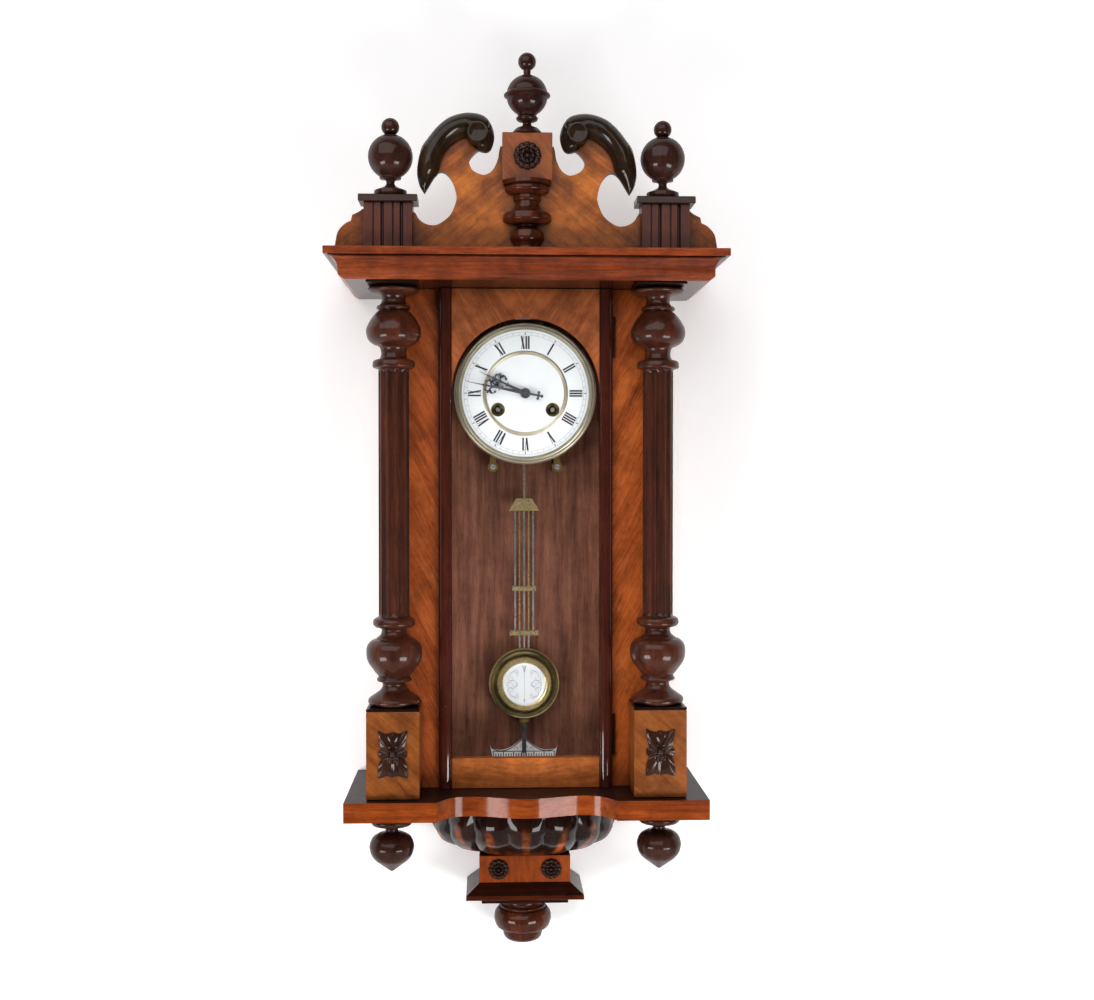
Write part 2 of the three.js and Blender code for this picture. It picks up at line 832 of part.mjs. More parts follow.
// Side blocks: reeded blocks with a cap, slotted over the pediment board
function slottedBlock(halfWidth, bottomZ, topZ) {
  return boxBetween(-halfWidth, halfWidth, blockFrontY, blockBackY, bottomZ, topZ);
}

function boardSlot(halfWidth, topZ) {
  return boxBetween(
    -halfWidth - overrun, halfWidth + overrun,
    boardFrontY - seat, boardBackY + seat,
    boardBottomZ - overrun, topZ,
  );
}

function sideBlock() {
  const shaftTop = boardBottomZ + blockHeight;
  const grooves = reedShares.map((share) => rodAlongZ(
    reedGroove, boardBottomZ - overrun, shaftTop - seat, 8,
    share * blockHalfWidth, blockFrontY,
  ));
  const capBackY = blockBackY + capBackOverhang;
  const shoulderZ = boardBottomZ + boardHeight * boardShares[8][1];
  return cut(
    join(
      cut(slottedBlock(blockHalfWidth, boardBottomZ, shaftTop), grooves),
      boxBetween(
        -capHalfWidth, capHalfWidth, blockFrontY - capOverhang, capBackY,
        shaftTop, shaftTop + capHeight,
      ),
    ),
    boardSlot(blockHalfWidth, shoulderZ + seat),
  );
}

for (const [name, side] of [['left', -1], ['right', 1]]) {
  add(`${name}_block`, sideBlock(), darkWalnut, side * blockX, 0, 0);
}

// Centre block: a square block with a rosette, carried by a half turning on the board
const centreBlockBottomZ = boardBottomZ + spindleHeight;
const spindleShares = [
  [0.6, 0], [0.6, 0.1], [0.69, 0.16], [0.7, 0.215], [0.66, 0.275], [0.48, 0.315], [0.345, 0.335],
  [0.388, 0.36], [0.36, 0.385], [0.8, 0.39], [0.98, 0.42], [1, 0.478], [0.964, 0.525], [0.82, 0.54],
  [0.62, 0.58], [0.522, 0.638], [0.48, 0.702], [0.56, 0.724], [0.56, 0.802], [0.68, 0.815],
  [0.884, 0.848], [0.916, 0.892], [0.863, 0.936], [0.988, 0.951], [0.988, 1],
];
const rosetteShares = [[0.3, 0], [0.38, 0.35], [0.5, 0.42], [0.8, 0.3], [0.97, 0.55], [1, 1]];

function rosette(radius, projection, faceY, x, z) {
  const profile = shaped(rosetteShares, radius, projection, faceY - projection);
  return turnedAlongY([...profile, [radius, faceY + seat]], 12, x, z);
}

function centreBlock() {
  const topZ = centreBlockBottomZ + centreBlockHeight;
  const spindle = turned(
    shaped(spindleShares, spindleRadius, centreBlockBottomZ - boardBottomZ, boardBottomZ),
    14, 0, boardFrontY - seat,
  );
  const behind = boxBetween(
    -spindleRadius * 2, spindleRadius * 2,
    boardFrontY - seat, boardFrontY + spindleRadius * 2,
    boardBottomZ - overrun, centreBlockBottomZ + overrun,
  );
  const innerTopZ = boardBottomZ + boardHeight * boardShares[boardShares.length - 1][1];
  return join(
    cut(spindle, behind),
    cut(
      slottedBlock(centreBlockHalfWidth, centreBlockBottomZ, topZ),
      boardSlot(centreBlockHalfWidth, innerTopZ + seat),
    ),
    rosette(centreRosetteRadius, rosetteProjection, blockFrontY, 0, (centreBlockBottomZ + topZ) / 2),
  );
}

add('centre_block', centreBlock(), walnutMoulding);

// Ball finials on the side blocks
const sideFinialFootShares = [
  [0.72, 0], [0.72, 0.075], [0.4, 0.13], [0.21, 0.16], [0.21, 0.2], [0.47, 0.235], [0.47, 0.262],
];

function sideFinial() {
  const bottomZ = boardBottomZ + blockHeight + capHeight + seat;
  const topZ = bottomZ + sideFinialHeight;
  const smallBallZ = topZ - sideSmallBallRadius;
  const ballZ = bottomZ + sideFinialHeight * sideBallShare;
  return turned([
    ...shaped(sideFinialFootShares, sideBallRadius, sideFinialHeight, bottomZ),
    ...bead(sideBallRadius, ballZ, -63, 76, 5),
    ...bead(sideSmallBallRadius, smallBallZ, -55, 80, 3),
  ], 12);
}

for (const [name, side] of [['left', -1], ['right', 1]]) {
  add(`${name}_finial`, sideFinial(), darkWalnut, side * sideFinialX, sideFinialY, 0);
}

// Centre finial: a belted ball on a stem, with a small ball above
const centreFinialFootShares = [
  [0.74, 0], [0.7, 0.03], [0.55, 0.075], [0.25, 0.1], [0.22, 0.145], [0.4, 0.165], [0.51, 0.185],
  [0.51, 0.21], [0.42, 0.225],
];

function centreFinial() {
  const bottomZ = centreBlockBottomZ + centreBlockHeight + seat;
  const topZ = bottomZ + centreFinialHeight;
  const ballZ = bottomZ + centreFinialHeight * centreBallShare;
  return turned([
    ...shaped(centreFinialFootShares, centreBallRadius, centreFinialHeight, bottomZ),
    ...bead(centreBallRadius, ballZ, -64, -9, 3),
    [centreBeltRadius, ballZ - centreBeltHeight / 2],
    [centreBeltRadius, ballZ + centreBeltHeight / 2],
    ...bead(centreBallRadius, ballZ, 9, 84, 3),
    ...bead(centreSmallBallRadius, topZ - centreSmallBallRadius, -72, 80, 3),
  ], 12);
}

add('centre_finial', centreFinial(), darkWalnut, 0, centreFinialY, 0);

// Gadrooned bowl: a half bowl under the base plate, its lobes meeting in sharp grooves. Each row
// gives shares of its half width, of its depth and of its height
const bowlShares = [
  [0.477, 0.477, 0], [0.7, 0.56, 0.04], [0.86, 0.7, 0.12], [0.96, 0.84, 0.25], [1, 0.93, 0.4],
  [1, 1, 0.7], [0.97, 0.98, 1],
];
const bowlGrooveShares = [0.02, 0.06, 0.08, 0.075, 0.06, 0.035, 0.01];

function gadroonedBowl() {
  const stepsPerLobe = 4;
  const steps = bowlLobes * stepsPerLobe;
  const topZ = caseBottomZ - baseThickness - seat;
  const bottomZ = topZ - bowlHeight;
  return loft(bowlShares.map(([widthShare, depthShare, heightShare], ring) => {
    const points = [];
    for (let i = 0; i <= steps; i += 1) {
      const turn = i / steps;
      const angle = Math.PI * turn;
      const crest = Math.abs(Math.cos(Math.PI * bowlLobes * turn));
      const lobe = 1 - bowlGrooveShares[ring] * (1 - crest) ** 0.8;
      points.push([
        -Math.cos(angle) * bowlHalfWidth * widthShare * lobe,
        -Math.sin(angle) * bowlDepth * depthShare * lobe,
        bottomZ + heightShare * bowlHeight,
      ]);
    }
    return points;
  }));
}

add('gadrooned_bowl', gadroonedBowl(), darkWalnut);

// Frieze box with two rosettes, the flared moulding under it and its small underplate
const friezeTopZ = caseBottomZ - baseThickness - seat - bowlHeight - seat;
const friezeBottomZ = friezeTopZ - friezeHeight;

add('frieze_box', join(
  boxBetween(-friezeHalfWidth, friezeHalfWidth, -friezeDepth, 0, friezeBottomZ, friezeTopZ),
  [-1, 1].map((side) => rosette(
    friezeRosetteRadius, rosetteProjection, -friezeDepth,
    side * friezeRosetteX, (friezeTopZ + friezeBottomZ) / 2,
  )),
), walnutMoulding);

function bracketMoulding() {
  const topZ = friezeBottomZ - seat;
  const bandTopZ = topZ - mouldingHeight + mouldingBand;
  const bandBottomZ = topZ - mouldingHeight;
  const rings = [
    [underplateHalfWidth, underplateDepth, bandBottomZ - underplateHeight],
    [underplateHalfWidth, underplateDepth, bandBottomZ],
    [mouldingHalfWidth, mouldingDepth, bandBottomZ],
    [mouldingHalfWidth, mouldingDepth, bandTopZ],
    [friezeHalfWidth, friezeDepth, topZ],
  ];
  return loft(rings.map(([halfWidth, depth, z]) => [
    [-halfWidth, 0, z], [-halfWidth, -depth, z], [halfWidth, -depth, z], [halfWidth, 0, z],
  ]));
}

add('bracket_moulding', bracketMoulding(), darkWalnut);

// Bottom finial and the two acorn drops, all hanging
const bottomFinialShares = [
  [0.25, 0], [0.557, 0.05], [0.67, 0.135], [0.71, 0.27], [0.72, 0.285], [0.9, 0.34], [0.97, 0.44],
  [1, 0.556], [0.97, 0.675], [0.86, 0.775], [0.78, 0.79], [0.78, 0.85], [0.7, 0.87], [0.7, 1],
];
const dropShares = [
  [0.03, 0], [0.27, 0.064], [0.54, 0.136], [0.765, 0.2], [0.92, 0.28], [0.985, 0.361], [1, 0.425],
  [0.935, 0.506], [0.815, 0.57], [0.585, 0.618], [0.31, 0.642], [0.28, 0.65], [0.28, 0.713],
  [0.38, 0.727], [0.67, 0.746], [0.86, 0.761], [0.94, 0.81], [0.94, 0.85], [0.75, 0.895], [0.75, 1],
];
const underplateBottomZ = friezeBottomZ - seat - mouldingHeight - underplateHeight;

add('bottom_finial', turned(
  shaped(bottomFinialShares, bottomFinialRadius, bottomFinialHeight,
    underplateBottomZ - seat - bottomFinialHeight),
  14,
), darkWalnut, bottomFinialX, bottomFinialY, 0);

for (const [name, side] of [['left', -1], ['right', 1]]) {
  add(`${name}_drop`, turned(
    shaped(dropShares, dropRadius, dropHeight, caseBottomZ - baseThickness - seat - dropHeight),
    12,
  ), darkWalnut, side * dropX, dropY, 0);
}

// Door: a veneered frame with an arched light and half-round mouldings on the stiles. The glass
// sits in a groove between the front lip and the glazing beads
const doorBottomZ = caseBottomZ + doorGap;
const doorTopZ = caseTopZ - doorGap;
const lightHalfWidth = doorHalfWidth - doorMouldingWidth;
const lightBottomZ = doorBottomZ + doorRailHeight;
const doorGlassFrontY = doorPanelFrontY + doorLipThickness + seat;

function archedPath(path, halfWidth, bottomZ) {
  path.moveTo(-halfWidth, bottomZ);
  path.lineTo(halfWidth, bottomZ);
  path.lineTo(halfWidth, 0);
  path.absarc(0, 0, halfWidth, 0, Math.PI, false);
  path.closePath();
  return path;
}

function doorFrame() {
  const outline = polygon([
    [-doorHalfWidth, doorBottomZ], [doorHalfWidth, doorBottomZ],
    [doorHalfWidth, doorTopZ], [-doorHalfWidth, doorTopZ],
  ]);
  outline.holes.push(archedPath(new THREE.Path(), lightHalfWidth, lightBottomZ));
  const rebate = archedPath(
    new THREE.Shape(), lightHalfWidth + doorGlassRebate, lightBottomZ - doorGlassRebate,
  );
  const mouldings = [-1, 1].map((side) => {
    const middle = side * (doorHalfWidth - doorMouldingWidth / 2);
    const section = [];
    const steps = 6;
    for (let i = 0; i <= steps; i += 1) {
      const angle = Math.PI * (i / steps);
      section.push([
        middle + (doorMouldingWidth / 2) * Math.cos(angle),
        doorPanelFrontY - doorMouldingProjection * Math.sin(angle),
      ]);
    }
    section.push([middle - doorMouldingWidth / 2, doorPanelFrontY + seat]);
    section.push([middle + doorMouldingWidth / 2, doorPanelFrontY + seat]);
    return upright(polygon(section), doorBottomZ, doorTopZ);
  });
  const latchHole = rodAlongY(latchBossRadius + seat, latchFrontY, doorBackY + overrun, 8,
    latchX, latchZ);
  const hingeRecesses = [upperHingeZ, lowerHingeZ].map((z) => boxBetween(
    doorHalfWidth - hingeLeafThickness - seat * 2, doorHalfWidth + overrun,
    hingeY - hingeKnuckleRadius - seat, doorBackY + overrun,
    z - hingeHeight / 2 - seat, z + hingeHeight / 2 + seat,
  ));
  return cut(
    join(frontal(outline, doorPanelFrontY, doorBackY, 12), mouldings),
    frontal(rebate, doorGlassFrontY - seat, doorGlassFrontY + doorGlassThickness + seat, 12),
    latchHole,
    hingeRecesses,
  );
}

add('door_frame', doorFrame(), darkWalnut);

add('door_glass', frontal(
  archedPath(
    new THREE.Shape(), lightHalfWidth + doorGlassRebate - seat, lightBottomZ - doorGlassRebate + seat,
  ),
  doorGlassFrontY, doorGlassFrontY + doorGlassThickness, 10,
), glass);

// Hinges: a fixed leaf with its knuckle and pin, let into the stile's inner edge, and a leaf let
// into the door's edge
const hingeX = doorHalfWidth + doorGap + hingeKnuckleRadius;

function fixedLeaf(z) {
  const leafX = stileInnerX + seat;
  const leafBackY = hingeY + hingeLeafWidth;
  return join(
    boxBetween(
      leafX, leafX + hingeLeafThickness, stileFrontY, leafBackY,
      z - hingeHeight / 2, z + hingeHeight / 2,
    ),
    boxBetween(leafX, leafX + hingeLeafThickness, hingeY, leafBackY, z - hingeHeight / 2, z),
    rodAlongZ(hingeKnuckleRadius, z - hingeHeight / 2, z, 10, hingeX, hingeY),
    rodAlongZ(hingePinRadius, z - seat, z + hingeHeight / 2 - seat, 8, hingeX, hingeY),
  );
}

function doorLeaf(z) {
  const bottomZ = z + seat;
  const topZ = z + hingeHeight / 2;
  const leafX = doorHalfWidth - seat;
  return cut(
    join(
      boxBetween(
        leafX - hingeLeafThickness, leafX, hingeY - hingeKnuckleRadius / 2, doorBackY - seat,
        z - hingeHeight / 2, topZ,
      ),
      boxBetween(
        leafX - hingeLeafThickness, hingeX, hingeY - hingeLeafThickness / 2, hingeY + hingeLeafThickness / 2,
        bottomZ, topZ,
      ),
      rodAlongZ(hingeKnuckleRadius, bottomZ, topZ, 10, hingeX, hingeY),
    ),
    rodAlongZ(hingePinRadius + seat, bottomZ - overrun, topZ + overrun, 8, hingeX, hingeY),
  );
}

for (const [name, z] of [['upper', upperHingeZ], ['lower', lowerHingeZ]]) {
  add(`${name}_hinge_leaf`, fixedLeaf(z), brass);
  add(`${name}_door_leaf`, doorLeaf(z), brass);
}

// Latch: a small brass turn button whose boss runs through the door's left stile, with a tongue
// that turns behind the case's own stile
const latchTongueY = stileFrontY + stileThickness + seat;

add('door_latch', join(
  rodAlongY(latchBossRadius, latchFrontY, latchTongueY + seat, 8, latchX, latchZ),
  boxBetween(
    latchX - latchTongueWidth / 2, latchX + latchTongueWidth / 2,
    latchTongueY, latchTongueY + latchTongueThickness,
    latchZ - latchTongueLength, latchZ + latchTongueWidth / 2,
  ),
), brass);

// Dial: an enamelled ring and centre on feet, with the brass bezel and the holes for the arbors
const dialBackY = dialFaceY + dialThickness;
const grommetFaceShare = 0.8;

function dialPlate() {
  const ringEdgeY = dialFaceY - innerRingHeight;
  const disc = turnedAlongY([
    [centreDiscRadius, dialFaceY],
    [centreDiscRadius, ringEdgeY],
    [chapterRingInnerRadius, ringEdgeY],
    [chapterRingInnerRadius, dialFaceY],
    [dialRadius, dialFaceY],
    [dialRadius, dialBackY],
  ], 32);
  const grommets = [-1, 1].map((side) => turnedAlongY([
    [grommetRadius * grommetFaceShare, dialFaceY - innerRingHeight],
    [grommetRadius, dialFaceY],
    [grommetRadius, dialBackY],
  ], 12, side * windingX, windingZ));
  const holes = [
    rodAlongY(hourPipeRadius + pipeClearance, ringEdgeY - overrun, dialBackY + overrun, 12),
    [-1, 1].map((side) => rodAlongY(windingHoleRadius, ringEdgeY - overrun, dialBackY + overrun, 10,
      side * windingX, windingZ)),
  ].flat();
  const feet = [[-1, 0], [1, 0], [0, 1], [0, -1]].map(([across, up]) => rodAlongY(
    dialFootRadius, dialBackY - seat, frontPlateFrontY - seat, 6,
    across * dialFootSpread, up * dialFootSpread,
  ));
  return cut(join(disc, grommets, feet), holes);
}

add('dial_plate', dialPlate(), enamel);

function dialBezel() {
  const inner = dialRadius + seat;
  const width = bezelRadius - inner;
  const depth = bezelBackY - bezelFrontY;
  const profile = bezelShares.map(([acrossShare, backShare]) => new THREE.Vector2(
    inner + width * acrossShare,
    bezelFrontY + depth * backShare,
  ));
  return solidFrom(new THREE.LatheGeometry([...profile, profile[0]], 32));
}

const bezelHooks = [0, 1, 2, 3].map((quarter) => {
  const angle = Math.PI / 4 + (Math.PI / 2) * quarter;
  const reach = dialRadius - bezelHookLength;
  return boxBetween(-bezelHookWidth / 2, bezelHookWidth / 2,
    bezelBackY, bezelBackY + bezelHookThickness, reach, dialRadius + bezelHookLength / 2)
    .rotate([0, THREE.MathUtils.radToDeg(angle), 0]);
});

add('dial_bezel', join(dialBezel(), bezelHooks), brass);

// Hands: pierced serpentine blades cut from thin sheet, drawn pointing up and then turned
function ringShape(radius, width, x, z) {
  const shape = new THREE.Shape();
  shape.absarc(x, z, radius, 0, Math.PI * 2, false);
  const hole = new THREE.Path();
  hole.absarc(x, z, radius - width, 0, Math.PI * 2, true);
  shape.holes.push(hole);
  return shape;
}

// The scrolls beside the stem, in radii of a ring from the rings' centre
const ringApartShare = 1.12;
const barbShares = [[0.12, -1.1], [2.6, -1.5], [1.9, -0.2], [1.3, -0.55]];
const lobeShares = [[0, 1.7], [1.35, 1.9], [0.9, 1.05], [0, 0.9]];
const handBarShares = [-2.6, 2.9];
const handStemShares = [[0.6, -2], [0.7, 2], [0.43, 3.2]];
const handTailWidthShare = 0.7;
const handTailCrossShare = 0.78;

function handBlade(length, frontY, boreRadius, hubRadius, ringsAt, tail) {
  const backY = frontY + handThickness;
  const cutOut = (shape) => frontal(shape, frontY, backY, 4);
  const ringRadius = handRingRadius;
  const besideStem = (side, shares) => polygon(shares.map(([acrossShare, upShare]) => [
    side * ringRadius * acrossShare, ringsAt + ringRadius * upShare,
  ]));
  const scrolls = [-1, 1].flatMap((side) => [
    cutOut(ringShape(ringRadius, handRingWidth, side * ringRadius * ringApartShare, ringsAt)),
    cutOut(besideStem(side, barbShares)),
    cutOut(besideStem(side, lobeShares)),
  ]);
  const bar = (halfWidth, z, halfHeight) => boxBetween(
    -halfWidth, halfWidth, frontY, backY, z - halfHeight, z + halfHeight,
  );
  const bars = handBarShares.map((upShare) => bar(
    ringRadius, ringsAt + ringRadius * upShare, handStemWidth / 2,
  ));
  const halfStem = [
    [handStemWidth, 0],
    ...handStemShares.map(([widthShare, upShare]) => [
      handStemWidth * widthShare, ringsAt + ringRadius * upShare,
    ]),
    [handTipWidth / 4, length],
  ];
  const stem = polygon([...halfStem, ...mirrored(halfStem)]);
  const parts = [rodAlongY(hubRadius, frontY, backY, 14), cutOut(stem), ...scrolls, ...bars];
  if (tail > 0) {
    parts.push(bar(handStemWidth * handTailWidthShare, -tail / 2, tail / 2));
    parts.push(bar(ringRadius, -tail * handTailCrossShare, handStemWidth));
  }
  return cut(join(parts), rodAlongY(boreRadius, frontY - overrun, backY + overrun, 12));
}

add('hour_hand', handBlade(
  hourHandLength, hourHandY, hourPipeRadius + pipeClearance / 3, hourHubRadius, hourRingsAt, 0,
).rotate([0, hourHandDegrees, 0]), blackSteel);

add('minute_hand', handBlade(
  minuteHandLength, minuteHandY, centreArborRadius + pipeClearance / 3, minuteHubRadius, minuteRingsAt,
  minuteHandTail,
).rotate([0, minuteHandDegrees, 0]), blackSteel);

// Gears: pointed teeth with straight flanks, slimmer than the gaps between them.
// A phase of zero puts a tooth on +X, and the angle grows toward +Z.
const addendumShare = 0.6;
const dedendumShare = 1.3;

function gearPoints(teeth, module, phase) {
  const pitchRadius = (teeth * module) / 2;
  const pitch = (Math.PI * 2) / teeth;
  const points = [];
  for (let tooth = 0; tooth < teeth; tooth += 1) {
    for (const [turnShare, radius] of [
      [0, pitchRadius + module * addendumShare],
      [0.5, pitchRadius - module * dedendumShare],
    ]) {
      const angle = phase + (tooth + turnShare) * pitch;
      points.push([radius * Math.cos(angle), radius * Math.sin(angle)]);
    }
  }
  return points;
}

// The openings between a wheel's spokes, from hub to rim
function crossings(count, hubRadius, rimRadius, spokeWidth) {
  const holes = [];
  for (let i = 0; i < count; i += 1) {
    const start = (i / count) * Math.PI * 2;
    const end = ((i + 1) / count) * Math.PI * 2;
    const rimGap = spokeWidth / 2 / rimRadius;
    const hubGap = spokeWidth / 2 / hubRadius;
    const hole = new THREE.Path();
    hole.absarc(0, 0, rimRadius, start + rimGap, end - rimGap, false);
    hole.absarc(0, 0, hubRadius, end - hubGap, start + hubGap, true);
    hole.closePath();
    holes.push(hole);
  }
  return holes;
}

function gear(teeth, module, phase, y0, y1, x, z, spokes = 0) {
  const shape = polygon(gearPoints(teeth, module, phase));
  if (spokes > 0) {
    const rimRadius = (teeth * module) / 2 - module * dedendumShare - wheelRim;
    shape.holes.push(...crossings(spokes, wheelHubRadius, rimRadius, spokeWidth));
  }
  return frontal(shape, y0, y1, 1).translate([x, 0, z]);
}

// An arbor with a pivot in each plate
const frontPlateBackY = frontPlateFrontY + plateThickness;
const backPlateFrontY = backPlateBackY - plateThickness;

function arbor(radius, x, z, frontY = frontPlateFrontY, backY = backPlateBackY) {
  return turnedAlongY([
    [pivotRadius, frontY],
    [pivotRadius, frontPlateBackY + seat],
    [radius, frontPlateBackY + seat],
    [radius, backPlateFrontY - seat],
    [pivotRadius, backPlateFrontY - seat],
    [pivotRadius, backY],
  ], 6, x, z);
}

// Modules that put each pair of wheels at its centre distance
const windingDistance = Math.hypot(windingX, windingZ);
const greatModule = (windingDistance * 2) / (greatWheelTeeth + centrePinionLeaves);
const centreModule = (Math.hypot(thirdX, thirdZ) * 2) / (wheelTeeth + pinionLeaves);
const thirdModule = (Math.hypot(thirdX, thirdZ - escapeZ) * 2) / (wheelTeeth + pinionLeaves);
const strikeGreatModule = (Math.hypot(strikeX - windingX, strikeZ - windingZ) * 2)
  / (greatWheelTeeth + centrePinionLeaves);
const cannonModule = (motionDistance * 2) / (minuteWheelTeeth + cannonLeaves);
const hourModule = (motionDistance * 2) / (hourWheelTeeth + minutePinionLeaves);

// The direction from one arbor to another, and the phase that turns a gap toward it
function toward(fromX, fromZ, toX, toZ) {
  return Math.atan2(toZ - fromZ, toX - fromX);
}

function gapToward(teeth, angle) {
  return angle + Math.PI / teeth;
}

// Levels of the wheels between the plates, from the back
const thirdWheelY = backPlateFrontY - wheelThickness - wheelSpace;
const greatWheelY = thirdWheelY - greatWheelThickness - wheelSpace;
const drumBackY = greatWheelY;
const strikeGreatY = frontPlateBackY + strikeGreatSetback;
const centreWheelY = frontPlateBackY + centreWheelSetback;
const escapeWheelY = frontPlateBackY + escapeWheelSetback;

// Spring barrels: a drum on its toothed great wheel, turning free on the winding arbor
function barrel(side, wheelY, drumFrontY, drumRearY, module, pinionX, pinionZ) {
  const x = side * windingX;
  return cut(
    join(
      rodAlongY(drumRadius, drumFrontY, drumRearY, 16, x, windingZ),
      gear(greatWheelTeeth, module, toward(x, windingZ, pinionX, pinionZ),
        wheelY, wheelY + greatWheelThickness, x, windingZ),
    ),
    rodAlongY(windingArborRadius + seat, frontPlateFrontY, backPlateBackY, 8, x, windingZ),
  );
}

add('time_barrel', barrel(
  -1, greatWheelY, drumBackY - drumLength, drumBackY + seat, greatModule, 0, 0,
), brass);
add('strike_barrel', barrel(
  1, strikeGreatY, strikeGreatY + seat, drumBackY, strikeGreatModule, strikeX, strikeZ,
), brass);

// Slanted teeth: each row gives a share of one tooth's turn and a share of the radius
function slantedTeeth(teeth, radius, shares) {
  const points = [];
  for (let tooth = 0; tooth < teeth; tooth += 1) {
    for (const [turnShare, radiusShare] of shares) {
      const angle = ((tooth + turnShare) / teeth) * Math.PI * 2;
      points.push([radius * radiusShare * Math.cos(angle), radius * radiusShare * Math.sin(angle)]);
    }
  }
  return polygon(points);
}

// Winding arbors: pivots in the plates, a ratchet in front and the square for the key
const ratchetToothShares = [[0, 1], [0.9, 0.84]];

function windingArbor(side) {
  const x = side * windingX;
  const ratchetY = frontPlateFrontY - seat - wheelThickness;
  const ratchet = slantedTeeth(ratchetTeeth, ratchetRadius, ratchetToothShares);
  return join(
    turnedAlongY([
      [windingArborRadius, ratchetY],
      [windingArborRadius, backPlateFrontY - seat],
      [pivotRadius * 2, backPlateFrontY - seat],
      [pivotRadius * 2, backPlateBackY],
    ], 8, x, windingZ),
    frontal(ratchet, ratchetY, ratchetY + wheelThickness).translate([x, 0, windingZ]),
    boxBetween(
      x - windingSquare / 2, x + windingSquare / 2, dialFaceY - seat, ratchetY + seat,
      windingZ - windingSquare / 2, windingZ + windingSquare / 2,
    ),
  );
}

add('time_winding_arbor', windingArbor(-1), steel);
add('strike_winding_arbor', windingArbor(1), steel);

// Going train
const cannonY = frontPlateFrontY - cannonSetback;
const hourWheelY = cannonY - hourWheelSetback;

add('centre_wheel', join(
  turnedAlongY([
    [centreArborRadius, minuteHandY - handThickness],
    [centreArborRadius, backPlateFrontY - seat],
    [pivotRadius, backPlateFrontY - seat],
    [pivotRadius, backPlateBackY],
  ], 8),
  rodAlongY(minuteHubRadius / 2, minuteHandY - handThickness * 2, minuteHandY - seat, 8),
  gear(wheelTeeth, centreModule, toward(0, 0, thirdX, thirdZ), centreWheelY, centreWheelY + wheelThickness,
    0, 0, spokeCount),
  gear(centrePinionLeaves, greatModule, gapToward(centrePinionLeaves, toward(0, 0, -windingX, windingZ)),
    greatWheelY - seat, greatWheelY + greatWheelThickness + seat, 0, 0),
  gear(cannonLeaves, cannonModule, gapToward(cannonLeaves, toward(0, 0, minuteX, minuteZ)),
    cannonY, cannonY + wheelThickness, 0, 0),
), brass);

add('third_wheel', join(
  arbor(arborRadius, thirdX, thirdZ),
  gear(wheelTeeth, thirdModule, toward(thirdX, thirdZ, 0, escapeZ), thirdWheelY, thirdWheelY + wheelThickness,
    thirdX, thirdZ, spokeCount),
  gear(pinionLeaves, centreModule, gapToward(pinionLeaves, toward(thirdX, thirdZ, 0, 0)),
    centreWheelY - seat, centreWheelY + wheelThickness + seat, thirdX, thirdZ),
), brass);

const escapeToothShares = [[0, 1], [0.3, 0.82]];
const escapeRimShare = 0.83;

function escapeWheel() {
  const shape = slantedTeeth(escapeTeeth, escapeRadius, escapeToothShares);
  const rimRadius = escapeRadius * escapeRimShare - wheelRim;
  shape.holes.push(...crossings(spokeCount, wheelHubRadius, rimRadius, spokeWidth));
  return join(
    arbor(arborRadius, 0, escapeZ),
    frontal(shape, escapeWheelY, escapeWheelY + wheelThickness, 1).translate([0, 0, escapeZ]),
    gear(pinionLeaves, thirdModule, gapToward(pinionLeaves, toward(0, escapeZ, thirdX, thirdZ)),
      thirdWheelY - seat, thirdWheelY + wheelThickness + seat, 0, escapeZ),
  );
}

add('escape_wheel', escapeWheel(), brass);

// Anchor with its crutch: the pallets ride just outside the escape wheel's teeth
const anchorBelowShare = 0.08;
const anchorAboveShare = 0.12;

function anchor() {
  const drop = suspensionZ - escapeZ;
  const lowMiddle = [0, suspensionZ - drop * anchorBelowShare];
  const highMiddle = [0, suspensionZ + drop * anchorAboveShare];
  const reach = escapeRadius + palletClearance;
  const armAngle = THREE.MathUtils.degToRad(palletDegrees);
  const palletAt = (side, radius) => [
    side * radius * Math.sin(armAngle),
    escapeZ + radius * Math.cos(armAngle),
  ];
  const arms = [-1, 1].map((side) => {
    const [tipX, tipZ] = palletAt(side, reach);
    const [outX, outZ] = palletAt(side, reach + palletWidth);
    const shape = polygon(side < 0
      ? [[tipX, tipZ], lowMiddle, highMiddle, [outX, outZ]]
      : [[tipX, tipZ], [outX, outZ], highMiddle, lowMiddle]);
    return frontal(shape, escapeWheelY, escapeWheelY + wheelThickness);
  });
  const crutchY = backPlateBackY + crutchGap;
  const rod = turnedAlongY([
    [pivotRadius, frontPlateFrontY],
    [pivotRadius, frontPlateBackY + seat],
    [arborRadius, frontPlateBackY + seat],
    [arborRadius, backPlateFrontY - seat],
    [pivotRadius, backPlateFrontY - seat],
    [pivotRadius, crutchY + crutchThickness],
  ], 8, 0, suspensionZ);
  return join(
    rod, arms,
    boxBetween(-crutchWidth / 2, crutchWidth / 2, crutchY, crutchY + crutchThickness,
      suspensionZ - crutchLength, suspensionZ + crutchWidth / 2),
    [-1, 1].map((side) => boxBetween(
      side * (pendulumRodRadius + seat), side * (pendulumRodRadius + seat + crutchThickness),
      crutchY, pendulumY + pendulumRodRadius,
      suspensionZ - crutchLength, suspensionZ - crutchLength + crutchWidth,
    )),
    boxBetween(
      -pendulumRodRadius - seat - crutchThickness, pendulumRodRadius + seat + crutchThickness,
      crutchY, crutchY + crutchThickness,
      suspensionZ - crutchLength, suspensionZ - crutchLength + crutchWidth,
    ),
  );
}

add('anchor', anchor(), steel);

